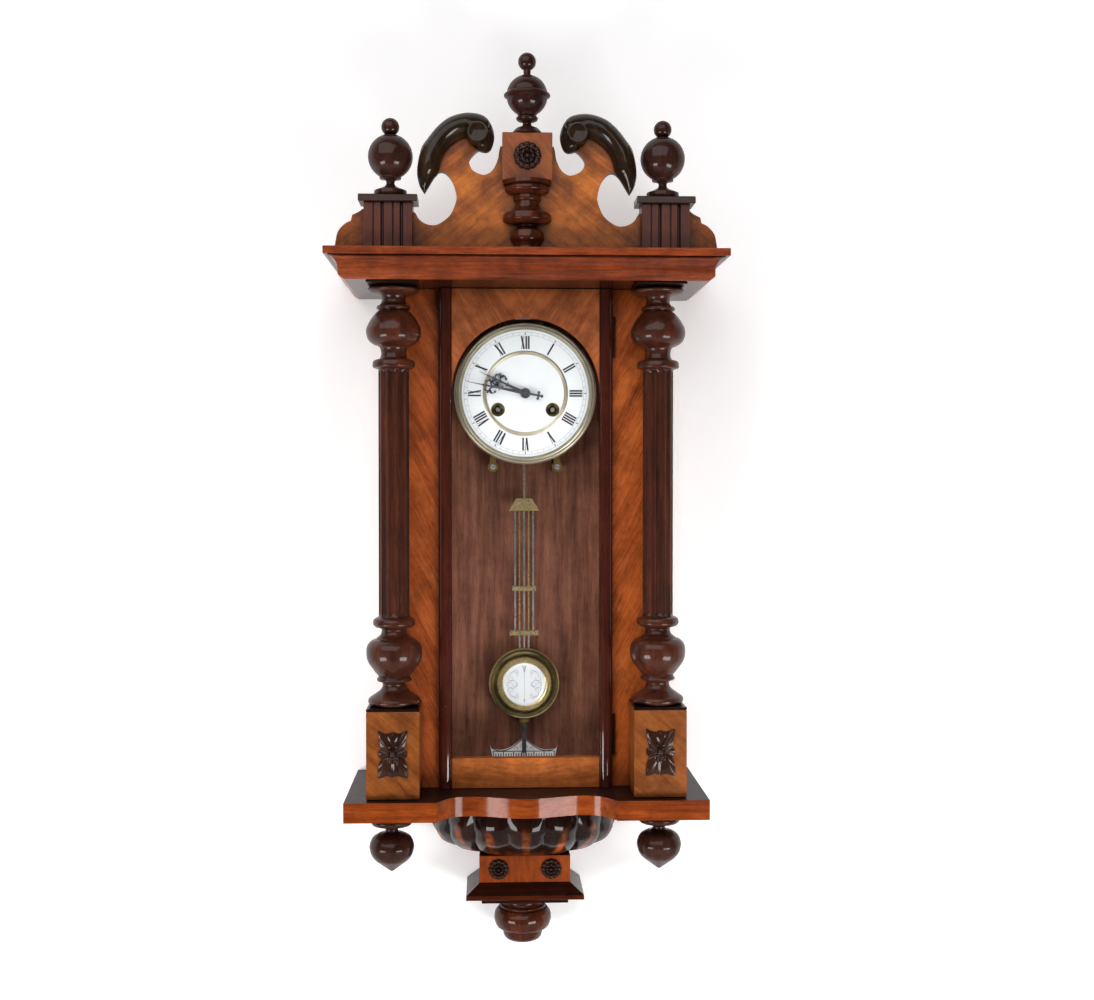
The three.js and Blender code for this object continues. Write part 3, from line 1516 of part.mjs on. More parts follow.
// Motion work: the minute wheel on its stud, and the hour wheel on its pipe
add('minute_wheel', cut(
  join(
    gear(minuteWheelTeeth, cannonModule, toward(minuteX, minuteZ, 0, 0), cannonY, cannonY + wheelThickness,
      minuteX, minuteZ),
    gear(minutePinionLeaves, hourModule, toward(minuteX, minuteZ, 0, 0),
      hourWheelY - seat, cannonY + seat, minuteX, minuteZ),
  ),
  rodAlongY(studRadius + seat, hourWheelY - overrun, cannonY + overrun, 8, minuteX, minuteZ),
), brass);

add('hour_wheel', cut(
  join(
    gear(hourWheelTeeth, hourModule, gapToward(hourWheelTeeth, toward(0, 0, minuteX, minuteZ)),
      hourWheelY, hourWheelY + wheelThickness, 0, 0),
    rodAlongY(hourPipeRadius, hourHandY - seat, hourWheelY + seat, 14),
  ),
  rodAlongY(centreArborRadius + pipeClearance, hourHandY - overrun, hourWheelY + overrun, 12),
), brass);

// Strike train: the pin wheel, and the hammer with its head beside the gong's block
const pinWheelY = thirdWheelY - wheelSpace / 2;

add('strike_wheel', join(
  arbor(arborRadius, strikeX, strikeZ),
  gear(strikeWheelTeeth, (strikeWheelRadius * 2) / strikeWheelTeeth, 0,
    pinWheelY, pinWheelY + wheelThickness, strikeX, strikeZ, spokeCount),
  gear(centrePinionLeaves, strikeGreatModule,
    gapToward(centrePinionLeaves, toward(strikeX, strikeZ, windingX, windingZ)),
    strikeGreatY - seat, strikeGreatY + greatWheelThickness + seat, strikeX, strikeZ),
), brass);

function hammer() {
  const armY = backPlateBackY + crutchGap;
  const arm = polygon([
    [hammerX - hammerArmWidth, hammerZ + hammerArmWidth],
    [hammerHeadX - hammerArmWidth / 2, hammerHeadZ],
    [hammerHeadX + hammerArmWidth / 2, hammerHeadZ],
    [hammerX + hammerArmWidth, hammerZ + hammerArmWidth],
  ]);
  return join(
    turnedAlongY([
      [pivotRadius, frontPlateFrontY],
      [pivotRadius, frontPlateBackY + seat],
      [arborRadius, frontPlateBackY + seat],
      [arborRadius, backPlateFrontY - seat],
      [pivotRadius, backPlateFrontY - seat],
      [pivotRadius, armY + crutchThickness],
    ], 8, hammerX, hammerZ),
    frontal(arm, armY, armY + crutchThickness),
    boxBetween(
      hammerHeadX - hammerHeadSize / 2, hammerHeadX + hammerHeadSize / 2, armY, hammerHeadBackY,
      hammerHeadZ - hammerHeadSize / 2, hammerHeadZ + hammerHeadSize / 2,
    ),
  );
}

add('hammer', hammer(), brass);

// Movement plates: the front one with the stud and the two screwed feet, the back one with the
// pillars and the suspension cock
function plateOutline() {
  const innerX = plateHalfWidth - plateCornerRadius;
  const innerZ = plateHalfHeight - plateCornerRadius;
  const shape = new THREE.Shape();
  shape.absarc(innerX, innerZ, plateCornerRadius, 0, Math.PI / 2, false);
  shape.absarc(-innerX, innerZ, plateCornerRadius, Math.PI / 2, Math.PI, false);
  shape.absarc(-innerX, -innerZ, plateCornerRadius, Math.PI, Math.PI * 1.5, false);
  shape.absarc(innerX, -innerZ, plateCornerRadius, Math.PI * 1.5, Math.PI * 2, false);
  return shape;
}

const pivotPlaces = [
  [thirdX, thirdZ], [0, escapeZ], [0, suspensionZ], [strikeX, strikeZ], [hammerX, hammerZ],
];

function plateHoles(shaftRadius, places, y0, y1) {
  const sides = 6;
  return places.map(([x, z]) => rodAlongY(
    boreRadius(shaftRadius, sides), y0 - overrun, y1 + overrun, sides, x, z,
  ));
}

function frontPlate() {
  const y0 = frontPlateFrontY;
  const y1 = frontPlateBackY;
  const feet = [-1, 1].flatMap((side) => [
    boxBetween(
      side * footX - footWidth / 2, side * footX + footWidth / 2, y0, y1, footZ, -plateHalfHeight + overrun,
    ),
    rodAlongY(footEyeRadius, y0, y1, 12, side * footX, footZ),
  ]);
  const stud = rodAlongY(studRadius, hourWheelY - seat, y0 + seat, 8, minuteX, minuteZ);
  return cut(
    join(frontal(plateOutline(), y0, y1, 3), feet, stud),
    plateHoles(pivotRadius, pivotPlaces, y0, y1),
    plateHoles(centreArborRadius, [[0, 0]], y0, y1),
    plateHoles(windingArborRadius, [[-windingX, windingZ], [windingX, windingZ]], y0, y1),
    plateHoles(screwShankRadius, [[-footX, footZ], [footX, footZ]], y0, y1),
  );
}

add('front_plate', frontPlate(), brass);

function backPlate() {
  const y0 = backPlateFrontY;
  const y1 = backPlateBackY;
  const pillars = [[-1, -1], [1, -1], [1, 1], [-1, 1]].map(([across, up]) => rodAlongY(
    pillarRadius, frontPlateBackY + seat, y0 + seat, 8, across * pillarX, up * pillarZ,
  ));
  const cockZ = suspensionZ + cockRise;
  const cock = boxBetween(
    -cockHalfWidth, cockHalfWidth, y1 - seat, pendulumY + cockHalfWidth / 2, cockZ, cockZ + cockHeight,
  );
  const cockSlot = boxBetween(
    -springThickness / 2 - cockSlotGap, springThickness / 2 + cockSlotGap,
    pendulumY - springWidth / 2 - seat, pendulumY + springWidth,
    cockZ - overrun, cockZ + springGrip + seat,
  );
  return cut(
    join(frontal(plateOutline(), y0, y1, 3), pillars, cut(cock, cockSlot)),
    plateHoles(pivotRadius, [...pivotPlaces, [0, 0]], y0, y1),
    plateHoles(pivotRadius * 2, [[-windingX, windingZ], [windingX, windingZ]], y0, y1),
  );
}

add('back_plate', backPlate(), brass);

// Movement bracket: a plate on the back board, hidden behind the dial, with two legs and two arms
// that reach the movement's feet
const bracketBackY = -backBoardThickness - seat;

add('movement_bracket', cut(
  join(
    boxBetween(
      -bracketPlateHalfWidth, bracketPlateHalfWidth, bracketBackY - plateThickness, bracketBackY,
      footZ + bracketPlateRise, footZ + bracketPlateRise + bracketPlateHeight,
    ),
    [-1, 1].flatMap((side) => [
      boxBetween(
        side * footX - bracketArmSize / 2, side * footX + bracketArmSize / 2,
        frontPlateBackY + seat, bracketBackY,
        footZ - bracketArmSize / 2, footZ + bracketArmSize / 2,
      ),
      boxBetween(
        side * footX - bracketArmSize / 2, side * footX + bracketArmSize / 2,
        bracketBackY - plateThickness, bracketBackY,
        footZ, footZ + bracketPlateRise + seat,
      ),
    ]),
  ),
  [-1, 1].map((side) => rodAlongY(
    screwShankRadius + seat, frontPlateFrontY, frontPlateFrontY + screwLength + seat, 10, side * footX, footZ,
  )),
), blackSteel);

function footScrew(side) {
  const headFrontY = frontPlateFrontY - seat - screwHeadHeight;
  const x = side * footX;
  return cut(
    join(
      rodAlongY(screwHeadRadius, headFrontY, frontPlateFrontY - seat, 12, x, footZ),
      rodAlongY(screwShankRadius, frontPlateFrontY - seat * 2, frontPlateFrontY + screwLength, 8, x, footZ),
    ),
    boxBetween(
      x - screwHeadRadius * 2, x + screwHeadRadius * 2, headFrontY - overrun, headFrontY + screwSlot,
      footZ - screwSlot / 2, footZ + screwSlot / 2,
    ),
  );
}

add('left_foot_screw', footScrew(-1), brass);
add('right_foot_screw', footScrew(1), brass);

// Pendulum: suspension spring, rod, the five rods of the gridiron between their bars, and the
// flat rod that carries the bob on its rating nut
function pendulumRod() {
  const gridHalf = gridironRodSpacing * 2;
  const rods = [-2, -1, 0, 1, 2].map((place) => rodAlongZ(
    gridironRodRadius, gridironBottomZ - seat, gridironTopZ + seat, 6, place * gridironRodSpacing, pendulumY,
  ));
  const lowRods = [-1, 0, 1].map((place) => rodAlongZ(
    gridironRodRadius, bobZ, gridironBottomZ - gridironBarHeight + seat, 6,
    place * gridironRodSpacing, pendulumY,
  ));
  const halfBar = gridironBarThickness / 2;
  const crown = polygon([
    [-crownTopHalfWidth, gridironTopZ + crownHeight],
    [-crownBottomHalfWidth, gridironTopZ],
    [crownBottomHalfWidth, gridironTopZ],
    [crownTopHalfWidth, gridironTopZ + crownHeight],
  ]);
  const middleZ = gridironTopZ + (gridironBottomZ - gridironTopZ) * gridironMiddleShare;
  const bar = (halfWidth, z) => boxBetween(
    -halfWidth, halfWidth, pendulumY - halfBar, pendulumY + halfBar, z - gridironBarHeight, z,
  );
  return join(
    boxBetween(
      -springThickness / 2, springThickness / 2, pendulumY - springWidth / 2, pendulumY + springWidth / 2,
      suspensionZ - springLength, suspensionZ + cockRise + springGrip,
    ),
    rodAlongZ(pendulumRodRadius, gridironTopZ + crownHeight - seat, suspensionZ - springLength + seat, 8,
      0, pendulumY),
    frontal(crown, pendulumY - halfBar, pendulumY + halfBar),
    rods, lowRods,
    bar(gridHalf + gridironMiddleOverhang, middleZ),
    bar(gridHalf + gridironLowerOverhang, gridironBottomZ),
    boxBetween(
      -flatRodHalfWidth, flatRodHalfWidth, pendulumY - flatRodThickness / 2, pendulumY + flatRodThickness / 2,
      rodEndZ, bobZ - bobRadius - nutHeight - nutGap * 2,
    ),
    rodAlongZ(threadRadius, bobZ - bobRadius - nutHeight - nutGap * 3, bobZ + seat, 8, 0, pendulumY),
  );
}

add('pendulum_rod', pendulumRod(), steel);

const bobShoulderShare = 0.92;
const bobBackShare = 0.8;

function pendulumBob() {
  const faceRadius = enamelDiscRadius + bobStep;
  const disc = turnedAlongY([
    [enamelDiscRadius, bobFrontY - enamelDiscProjection],
    [enamelDiscRadius, bobFrontY + bobStep],
    [faceRadius, bobFrontY],
    [faceRadius + bobStep, bobFrontY],
    [bobRadius * bobShoulderShare, (bobFrontY + pendulumY) / 2],
    [bobRadius, pendulumY - bobStep],
    [bobRadius, pendulumY],
    [bobRadius * bobBackShare, bobBackY],
  ], 24, 0, bobZ);
  const channelHalf = gridironRodSpacing + gridironRodRadius + seat;
  const channel = boxBetween(
    -channelHalf, channelHalf, pendulumY - threadRadius - seat, bobBackY + overrun,
    bobZ - bobRadius - overrun, bobZ + bobRadius + overrun,
  );
  return cut(disc, channel);
}

add('pendulum_bob', pendulumBob(), brass);

const nutTopZ = bobZ - bobRadius - nutGap;

add('rating_nut', cut(
  rodAlongZ(nutRadius, nutTopZ - nutHeight, nutTopZ, 16, 0, pendulumY),
  rodAlongZ(threadRadius + seat, nutTopZ - nutHeight - overrun, nutTopZ + overrun, 8, 0, pendulumY),
), brass);

// Beat scale: a shaped enamel plaque with horned shoulders and a small arch
function beatScale() {
  const place = ([acrossShare, upShare]) => [
    acrossShare * beatScaleHalfWidth,
    beatScaleTopZ - beatScaleHeight * (1 - upShare),
  ];
  const right = beatScaleShares.map(place);
  const y1 = -backBoardThickness - seat;
  return frontal(polygon([...right, ...mirrored(right)]), y1 - beatScaleThickness, y1);
}

add('beat_scale', beatScale(), enamel);

// Gong: a flat coil of wire whose outer end is riveted into a block on a post
function gong() {
  const points = [];
  const steps = gongTurns * gongStepsPerTurn;
  const endAngle = Math.atan2(gongBlockZ, gongBlockX);
  for (let i = 0; i <= steps; i += 1) {
    const turn = gongTurns * (i / steps);
    const radius = gongRadius - gongPitch * turn;
    const angle = endAngle - turn * Math.PI * 2;
    points.push(new THREE.Vector3(radius * Math.cos(angle), gongY, radius * Math.sin(angle)));
  }
  const apart = points.map((point, i) => Math.min(...points.slice(i + gongStepsPerTurn / 2).map(
    (other) => point.distanceTo(other),
  )));
  console.log(`gong: least gap between turns ${(Math.min(...apart) - gongWireRadius * 2).toFixed(2)} mm`);
  const path = new THREE.CatmullRomCurve3(points);
  const section = new THREE.Shape();
  section.absarc(0, 0, gongWireRadius, 0, Math.PI * 2, false);
  const wire = new THREE.ExtrudeGeometry(section, {
    steps, bevelEnabled: false, extrudePath: path, curveSegments: 3,
  });
  const half = gongBlockSize / 2;
  return join(
    solidFrom(wire),
    boxBetween(
      gongBlockX - half, gongBlockX + half, hammerHeadBackY - gongBlockSize, -backBoardThickness - seat,
      gongBlockZ - half, gongBlockZ + half,
    ),
  );
}

add('gong', gong(), steel);

export default clock;
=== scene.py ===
import math

import bmesh
import bpy
from mathutils import Matrix, Vector


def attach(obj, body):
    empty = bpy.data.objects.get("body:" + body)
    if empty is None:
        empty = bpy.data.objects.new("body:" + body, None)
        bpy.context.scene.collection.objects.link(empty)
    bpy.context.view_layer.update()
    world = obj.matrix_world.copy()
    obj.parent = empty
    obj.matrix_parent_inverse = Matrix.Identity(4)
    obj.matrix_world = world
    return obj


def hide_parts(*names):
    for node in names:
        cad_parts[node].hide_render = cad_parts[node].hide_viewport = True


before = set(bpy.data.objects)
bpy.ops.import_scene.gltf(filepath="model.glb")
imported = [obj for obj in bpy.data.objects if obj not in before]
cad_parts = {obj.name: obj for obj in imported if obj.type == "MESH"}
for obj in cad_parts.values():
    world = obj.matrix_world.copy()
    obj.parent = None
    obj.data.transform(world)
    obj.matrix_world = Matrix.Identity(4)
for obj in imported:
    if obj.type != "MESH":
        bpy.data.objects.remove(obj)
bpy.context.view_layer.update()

# Camera: level with the middle of the clock and a little to its left, as the photograph was taken.
# The right, up and forward directions come from the heading and the slight downward tilt. Sizes
# in this file are in millimetres, which mm turns to metres.
scene = bpy.context.scene
mm = 0.001
camera_place = (-40.3, -1610, -88.2)
heading = 0.0419
tilt = -0.0183
forward = Vector((math.sin(heading) * math.cos(tilt), math.cos(heading) * math.cos(tilt), math.sin(tilt)))
right = forward.cross(Vector((0, 0, 1))).normalized()
up = right.cross(forward)
camera_data = bpy.data.cameras.new("camera")
camera_data.sensor_width = 36
camera_data.lens = 46.07
camera = bpy.data.objects.new("camera", camera_data)
camera.matrix_world = (
    Matrix.Translation(Vector(camera_place) * mm)
    @ Matrix((right, up, -forward)).transposed().to_4x4()
)
scene.collection.objects.link(camera)
scene.camera = camera
scene.view_settings.view_transform = "Standard"


# Studio: a white room whose front, behind the camera, and lower part are dark, a wide lamp high up
# in front, and two smaller ones low in front that make the paired highlights on the turnings.
def linear(colour):
    """sRGB hex, such as #8f4a22, to linear red, green, blue and alpha."""
    channels = [int(colour[i:i + 2], 16) / 255 for i in (1, 3, 5)]
    return [c / 12.92 if c <= 0.04045 else ((c + 0.055) / 1.055) ** 2.4 for c in channels] + [1]


def add_node(tree, kind, settings=None, **links):
    """Adds one node. settings holds its options and socket values, links what feeds its sockets."""
    made = tree.nodes.new(kind)
    for key, value in (settings or {}).items():
        if isinstance(key, int) or key in made.inputs:
            made.inputs[key].default_value = value
        else:
            setattr(made, key, value)
    for key, source in links.items():
        name = key.replace("_", " ")
        target = made.inputs[int(key[1:])] if key[0] == "n" and key[1:].isdigit() else made.inputs[name]
        tree.links.new(source, target)
    return made


world = bpy.data.worlds.new("white room")
world.use_nodes = True
room = world.node_tree
room_strength = 0.9
toward = add_node(room, "ShaderNodeSeparateXYZ", None,
                  Vector=add_node(room, "ShaderNodeTexCoord").outputs["Generated"])
front_share = add_node(room, "ShaderNodeMath", {"operation": "MULTIPLY", 1: -1.0}, n0=toward.outputs["Y"])
room_light = add_node(room, "ShaderNodeValToRGB", None, Fac=front_share.outputs[0])
room_light.color_ramp.elements[0].position = 0.02
room_light.color_ramp.elements[0].color = linear("#ffffff")
room_light.color_ramp.elements[1].position = 0.16
room_light.color_ramp.elements[1].color = linear("#4c4845")
low_share = add_node(room, "ShaderNodeMapRange", {"From Min": -0.1, "From Max": -0.5, "To Max": 0.8},
                     Value=toward.outputs["Z"])
room_colour = add_node(room, "ShaderNodeMix", {"data_type": "RGBA", 7: linear("#3c3836")},
                       n0=low_share.outputs[0], n6=room_light.outputs[0])
lit = room.nodes["Background"]
room.links.new(room_colour.outputs[2], lit.inputs["Color"])
lit.inputs["Strength"].default_value = room_strength
scene.world = world

# Each lamp has its place, its width and height, and its power in watts. All look at the case.
aim = Vector((0, -100, -120)) * mm
for lamp_name, spot, wide, tall, power in (
    ("soft_light", (-900, -2400, 1900), 4500, 3000, 86),
    ("low_lamp_left", (-1250, -1250, -900), 820, 410, 14),
    ("low_lamp_right", (900, -1250, -900), 820, 410, 14),
):
    lamp_data = bpy.data.lights.new(lamp_name, "AREA")
    lamp_data.shape = "RECTANGLE"
    lamp_data.size = wide * mm
    lamp_data.size_y = tall * mm
    lamp_data.energy = power
    lamp = bpy.data.objects.new(lamp_name, lamp_data)
    place = Vector(spot) * mm
    facing = (aim - place).to_track_quat("-Z", "Y").to_matrix().to_4x4()
    lamp.matrix_world = Matrix.Translation(place) @ facing
    scene.collection.objects.link(lamp)


# Wall: a smooth painted wall, a hair behind the back board. Seen from behind it is clear, so the
# back of the clock can be looked at.
def new_material(name):
    """A material with an empty tree and its output node."""
    material = bpy.data.materials.new(name)
    material.use_nodes = True
    material.node_tree.nodes.clear()
    return material, material.node_tree, material.node_tree.nodes.new("ShaderNodeOutputMaterial")


def add_piece(name, points, faces, material, body, slot=None, replaces=(), smooth=None, bevel=0):
    """A mesh object made of points in millimetres, which rides on a body of the clock. smooth is
    the angle in degrees beyond which an edge stays sharp, bevel the width of its rounded edges."""
    mesh = bpy.data.meshes.new(name)
    mesh.from_pydata([Vector(p) * mm for p in points], [], faces)
    mesh.validate()
    builder = bmesh.new()
    builder.from_mesh(mesh)
    bmesh.ops.remove_doubles(builder, verts=builder.verts, dist=0.01 * mm)
    bmesh.ops.recalc_face_normals(builder, faces=builder.faces)
    builder.to_mesh(mesh)
    builder.free()
    piece = bpy.data.objects.new(name, mesh)
    scene.collection.objects.link(piece)
    mesh.materials.append(material)
    if smooth is not None:
        mesh.shade_smooth()
        mesh.set_sharp_from_angle(angle=math.radians(smooth))
    if bevel:
        rounding = piece.modifiers.new("rounding", "BEVEL")
        rounding.width = bevel * mm
        rounding.segments = 2
        rounding.limit_method = "ANGLE"
        rounding.angle_limit = math.radians(30)
    if body:
        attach(piece, body)
    if replaces:
        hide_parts(*replaces)
    return piece


wall_paint, tree, output = new_material("matt_white_wall_paint")
paint = add_node(tree, "ShaderNodeBsdfDiffuse", {"Color": linear("#f7f7f8")})
glow = add_node(tree, "ShaderNodeEmission", {"Color": linear("#ffffff"), "Strength": 0.22})
lit_paint = add_node(tree, "ShaderNodeAddShader", None, n0=paint.outputs[0], n1=glow.outputs[0])
clear = add_node(tree, "ShaderNodeBsdfTransparent")
side_seen = add_node(tree, "ShaderNodeNewGeometry")
two_sided = add_node(tree, "ShaderNodeMixShader", None, n0=side_seen.outputs["Backfacing"],
                     n1=lit_paint.outputs[0], n2=clear.outputs[0])
tree.links.new(two_sided.outputs[0], output.inputs["Surface"])


def backdrop(name, corners, material, facing):
    """A flat part of the room, which isn't part of the clock, with its face turned toward facing."""
    piece = add_piece(name, corners, [(0, 1, 2, 3)], material, None)
    if piece.data.polygons[0].normal.dot(Vector(facing)) < 0:
        piece.data.flip_normals()


room_half, wall_low, wall_high, wall_y = 4000, -2500, 3000, 1
backdrop("wall", [(-room_half, wall_y, wall_low), (room_half, wall_y, wall_low),
                  (room_half, wall_y, wall_high), (-room_half, wall_y, wall_high)], wall_paint, (0, -1, 0))


# Timber: walnut in every finish of the case. The grain is drawn from three noises stretched along it:
# cloudy figure 24 mm apart, streaks, and pores drawn about twice as coarse as real ones, so that they show.
# Shellac polish gives a clear coat. Hollows, creases and the wood under and between parts are darkened by
# how closely other surfaces crowd them: partly old dark polish, partly painted shade.
cloud_mm, pore_mm, smudge_mm = 23.81, 0.7143, 38.46
along_grain = 0.07


def timber(name, pale, middle, dark, grain=(0, 0, 1), tilt=0.0, seam=None, figure=1.0,
           rough=0.38, coat=0.2, shine=0.12, grime_and_shade=0.75, reach=6, streak_mm=3.0, mottle=0.2):
    """Polished walnut. grain is the axis that it runs along, tilt turns it in the front plane, in degrees,
    and seam is the X of a book-matched joint. figure, grime_and_shade and mottle say how strongly the
    pattern, the dark hollows and the smudges show, and reach how far a hollow's dark goes. That dark is
    partly old polish and partly painted shade."""
    material, tree, output = new_material(name)
    place = add_node(tree, "ShaderNodeTexCoord").outputs["Object"]
    if seam is not None:
        parts = add_node(tree, "ShaderNodeSeparateXYZ", None, Vector=place)
        across = add_node(tree, "ShaderNodeMath", {"operation": "SUBTRACT", 1: seam * mm},
                          n0=parts.outputs["X"])
        folded = add_node(tree, "ShaderNodeMath", {"operation": "ABSOLUTE"}, n0=across.outputs[0])
        place = add_node(tree, "ShaderNodeCombineXYZ", None, X=folded.outputs[0],
                         Y=parts.outputs["Y"], Z=parts.outputs["Z"]).outputs[0]
    turned = add_node(tree, "ShaderNodeMapping", {"Rotation": (0, math.radians(tilt), 0)}, Vector=place)
    squeeze = [along_grain if axis else 1.0 for axis in grain]
    laid = add_node(tree, "ShaderNodeMapping", {"Scale": squeeze}, Vector=turned.outputs[0])
    cloud = add_node(tree, "ShaderNodeTexNoise", {"Scale": 1000 / cloud_mm, "Detail": 3, "Roughness": 0.6,
                     "Distortion": 1.1}, Vector=laid.outputs[0])
    streak = add_node(tree, "ShaderNodeTexNoise", {"Scale": 1000 / streak_mm, "Detail": 5,
                      "Roughness": 0.65, "Distortion": 0.4}, Vector=laid.outputs[0])
    pore = add_node(tree, "ShaderNodeTexNoise", {"Scale": 1000 / pore_mm, "Detail": 2, "Roughness": 0.5},
                    Vector=laid.outputs[0])
    mixed = add_node(tree, "ShaderNodeMix", {0: 0.42}, n2=cloud.outputs[0], n3=streak.outputs[0])
    tone = add_node(tree, "ShaderNodeMapRange", {"From Min": 0.5 - 0.2 / figure,
                    "From Max": 0.5 + 0.2 / figure}, Value=mixed.outputs[0])
    ramp = add_node(tree, "ShaderNodeValToRGB", None, Fac=tone.outputs[0])
    steps = ramp.color_ramp
    steps.elements[0].color = linear(dark)
    steps.elements[1].color = linear(pale)
    steps.elements.new(0.45).color = linear(middle)
    pits = add_node(tree, "ShaderNodeMapRange", {"From Min": 0.3, "From Max": 0.46, "To Min": 0.62},
                    Value=pore.outputs[0])
    # Painted shade: ambient occlusion darkens hollows, creases and the wood under and between parts, and
    # also stands for old dark polish there.
    hollow = add_node(tree, "ShaderNodeAmbientOcclusion", {"samples": 6, "Distance": reach * mm})
    tone_mask = add_node(tree, "ShaderNodeMapRange", {"From Min": 0.25, "From Max": 0.85,
                    "To Min": 1 - grime_and_shade}, Value=hollow.outputs["AO"])
    smudge = add_node(tree, "ShaderNodeTexNoise", {"Scale": 1000 / smudge_mm, "Detail": 4,
                                                   "Roughness": 0.7},
                      Vector=place)
    age = add_node(tree, "ShaderNodeMapRange", {"From Min": 0.36, "From Max": 0.6, "To Min": 1 - mottle,
                   "To Max": 1 + mottle / 3}, Value=smudge.outputs[0])
    smudge_and_shade = add_node(tree, "ShaderNodeMath", {"operation": "MULTIPLY"}, n0=age.outputs[0],
                       n1=tone_mask.outputs[0])
    shade = add_node(tree, "ShaderNodeMath", {"operation": "MULTIPLY"}, n0=pits.outputs[0],
                     n1=smudge_and_shade.outputs[0])
    colour = add_node(tree, "ShaderNodeMix", {"data_type": "RGBA", "blend_type": "MULTIPLY", 0: 1.0},
                      n6=ramp.outputs[0], n7=shade.outputs[0])
    gloss = add_node(tree, "ShaderNodeMapRange", {"To Min": rough - 0.07, "To Max": rough + 0.1},
                     Value=streak.outputs[0])
    relief = add_node(tree, "ShaderNodeBump", {"Strength": 0.12, "Distance": 0.15 * mm},
                      Height=pits.outputs[0])
    # The wood under a thick polish has hardly any shine of its own.
    bare_shine = 0.12 if coat < 0.4 else 0.02
    body = add_node(tree, "ShaderNodeBsdfPrincipled", {"IOR": 1.5, "Specular IOR Level": bare_shine,
                    "Coat Weight": coat, "Coat Roughness": shine, "Coat IOR": 1.5},
                    Base_Color=colour.outputs[2], Roughness=gloss.outputs[0], Normal=relief.outputs[0])
    tree.links.new(body.outputs[0], output.inputs["Surface"])
    return material


def dress(nodes, material):
    """Gives CAD nodes a material."""
    for name in nodes:
        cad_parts[name].data.materials.clear()
        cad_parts[name].data.materials.append(material)


# Back board: plain walnut boards inside the case, dulled by age and seen through the door's glass.
# Grey-brown and almost matt, with wide streaks.
inner_walnut = timber("dull_walnut_back_board", "#9b6850", "#764a39", "#432a20", figure=1.1,
                      rough=0.5, coat=0.1, grime_and_shade=0.3, streak_mm=5)
dress(["back_board"], inner_walnut)

# Case sides: a side frame with the veneered front stile glued across its edge. The veneer's grain
# runs slantwise up and away from the door.
# Bright orange-brown, a little brighter on the right, with smudges of old polish.
stile_veneer_left = timber("slanting_walnut_veneer_left", "#d77238", "#ab5226", "#512313", tilt=27,
                           grime_and_shade=0.6, reach=14, figure=0.95, streak_mm=2.2, mottle=0.35)
stile_veneer_right = timber("slanting_walnut_veneer_right", "#de7735", "#b45724", "#532312", tilt=-27,
                            grime_and_shade=0.6, reach=14, figure=0.95, streak_mm=2.2, mottle=0.35)
dress(["left_case_side"], stile_veneer_left)
dress(["right_case_side"], stile_veneer_right)


# Glass: old drawn sheet glass in the door and the sides, held by beads. It is clear, and faintly
# uneven in waves some 110 mm long. Lamp light passes straight through it, and it mirrors little.
wave_mm = 111


def sheet_glass(name):
    """Clear glass whose surface rises and falls in long waves."""
    material, tree, output = new_material(name)
    place = add_node(tree, "ShaderNodeTexCoord")
    waves = add_node(tree, "ShaderNodeTexNoise", {"Scale": 1000 / wave_mm, "Detail": 1},
                     Vector=place.outputs["Object"])
    relief = add_node(tree, "ShaderNodeBump", {"Strength": 0.05, "Distance": 1 * mm},
                      Height=waves.outputs[0])
    pane = add_node(tree, "ShaderNodeBsdfPrincipled", {"Base Color": linear("#f9f9f9"), "Roughness": 0.0,
                    "IOR": 1.5, "Transmission Weight": 1.0, "Specular Tint": linear("#5f5f5f")},
                    Normal=relief.outputs[0])
    clear = add_node(tree, "ShaderNodeBsdfTransparent", {"Color": linear("#f6f6f6")})
    path = add_node(tree, "ShaderNodeLightPath")
    mixed = add_node(tree, "ShaderNodeMixShader", None, n0=path.outputs["Is Shadow Ray"],
                     n1=pane.outputs[0], n2=clear.outputs[0])
    tree.links.new(mixed.outputs[0], output.inputs["Surface"])
    return material


dress(["left_side_glass", "right_side_glass", "door_glass"], sheet_glass("old_drawn_sheet_glass"))

# Cornice: a moulded frame of red-brown walnut. Chamfer, flat, cove and top fillet are run in one
# strip and mitred at the front corners, with the grain along each strip.
# Red-brown under a thin polish; the cove is darkened by painted shade.
moulding_walnut = timber("red_walnut_moulding", "#ae5628", "#84391a", "#3e160a", grain=(1, 0, 0),
                         mottle=0.35, grime_and_shade=0.85, reach=9, figure=1.0, coat=0.3)
cornice_half, cornice_front = 187.6, 167.0
cornice_low, cornice_high = 111.6, 142.8
profile = [(0, cornice_low + 0.05), (5.4, cornice_low + 3.4), (6, cornice_low + 4.2), (6, 121.2)]
cove_steps = 14
cove = [math.pi / 2 * i / cove_steps for i in range(cove_steps + 1)]
profile += [(6 + 10 * (1 - math.cos(a)), 121.6 + 12.3 * math.sin(a)) for a in cove]
profile += [(15.2, 134.0), (15.2, 134.9), (18.9, 134.9), (19.5, 135.2), (19.6, 135.7), (19.6, 142.1),
            (19.2, 142.65), (18.6, cornice_high)]


def post(name, rows, material, slot, replaces=(), x=0, back=0):
    """A squared piece against a flat back. Each row gives a half width, a depth and a height."""
    points, faces = [], []
    for half, front, z in rows:
        points += [(x - half, back, z), (x - half, -front, z), (x + half, -front, z), (x + half, back, z)]
    for level in range(len(rows) - 1):
        for side in range(4):
            a, b = level * 4 + side, level * 4 + (side + 1) % 4
            faces.append((a, b, b + 4, a + 4))
    last = 4 * (len(rows) - 1)
    faces += [(3, 2, 1, 0), (last, last + 1, last + 2, last + 3)]
    return add_piece(name, points, faces, material, "case", slot, replaces, smooth=24)


def face_toward(piece, direction, material):
    """Gives the faces that look up (1) or down (-1) a second material, here a darker copy of the wood that
    paints shade on them.
    """
    piece.data.materials.append(material)
    for face in piece.data.polygons:
        if face.normal.z * direction > 0.9:
            face.material_index = 1


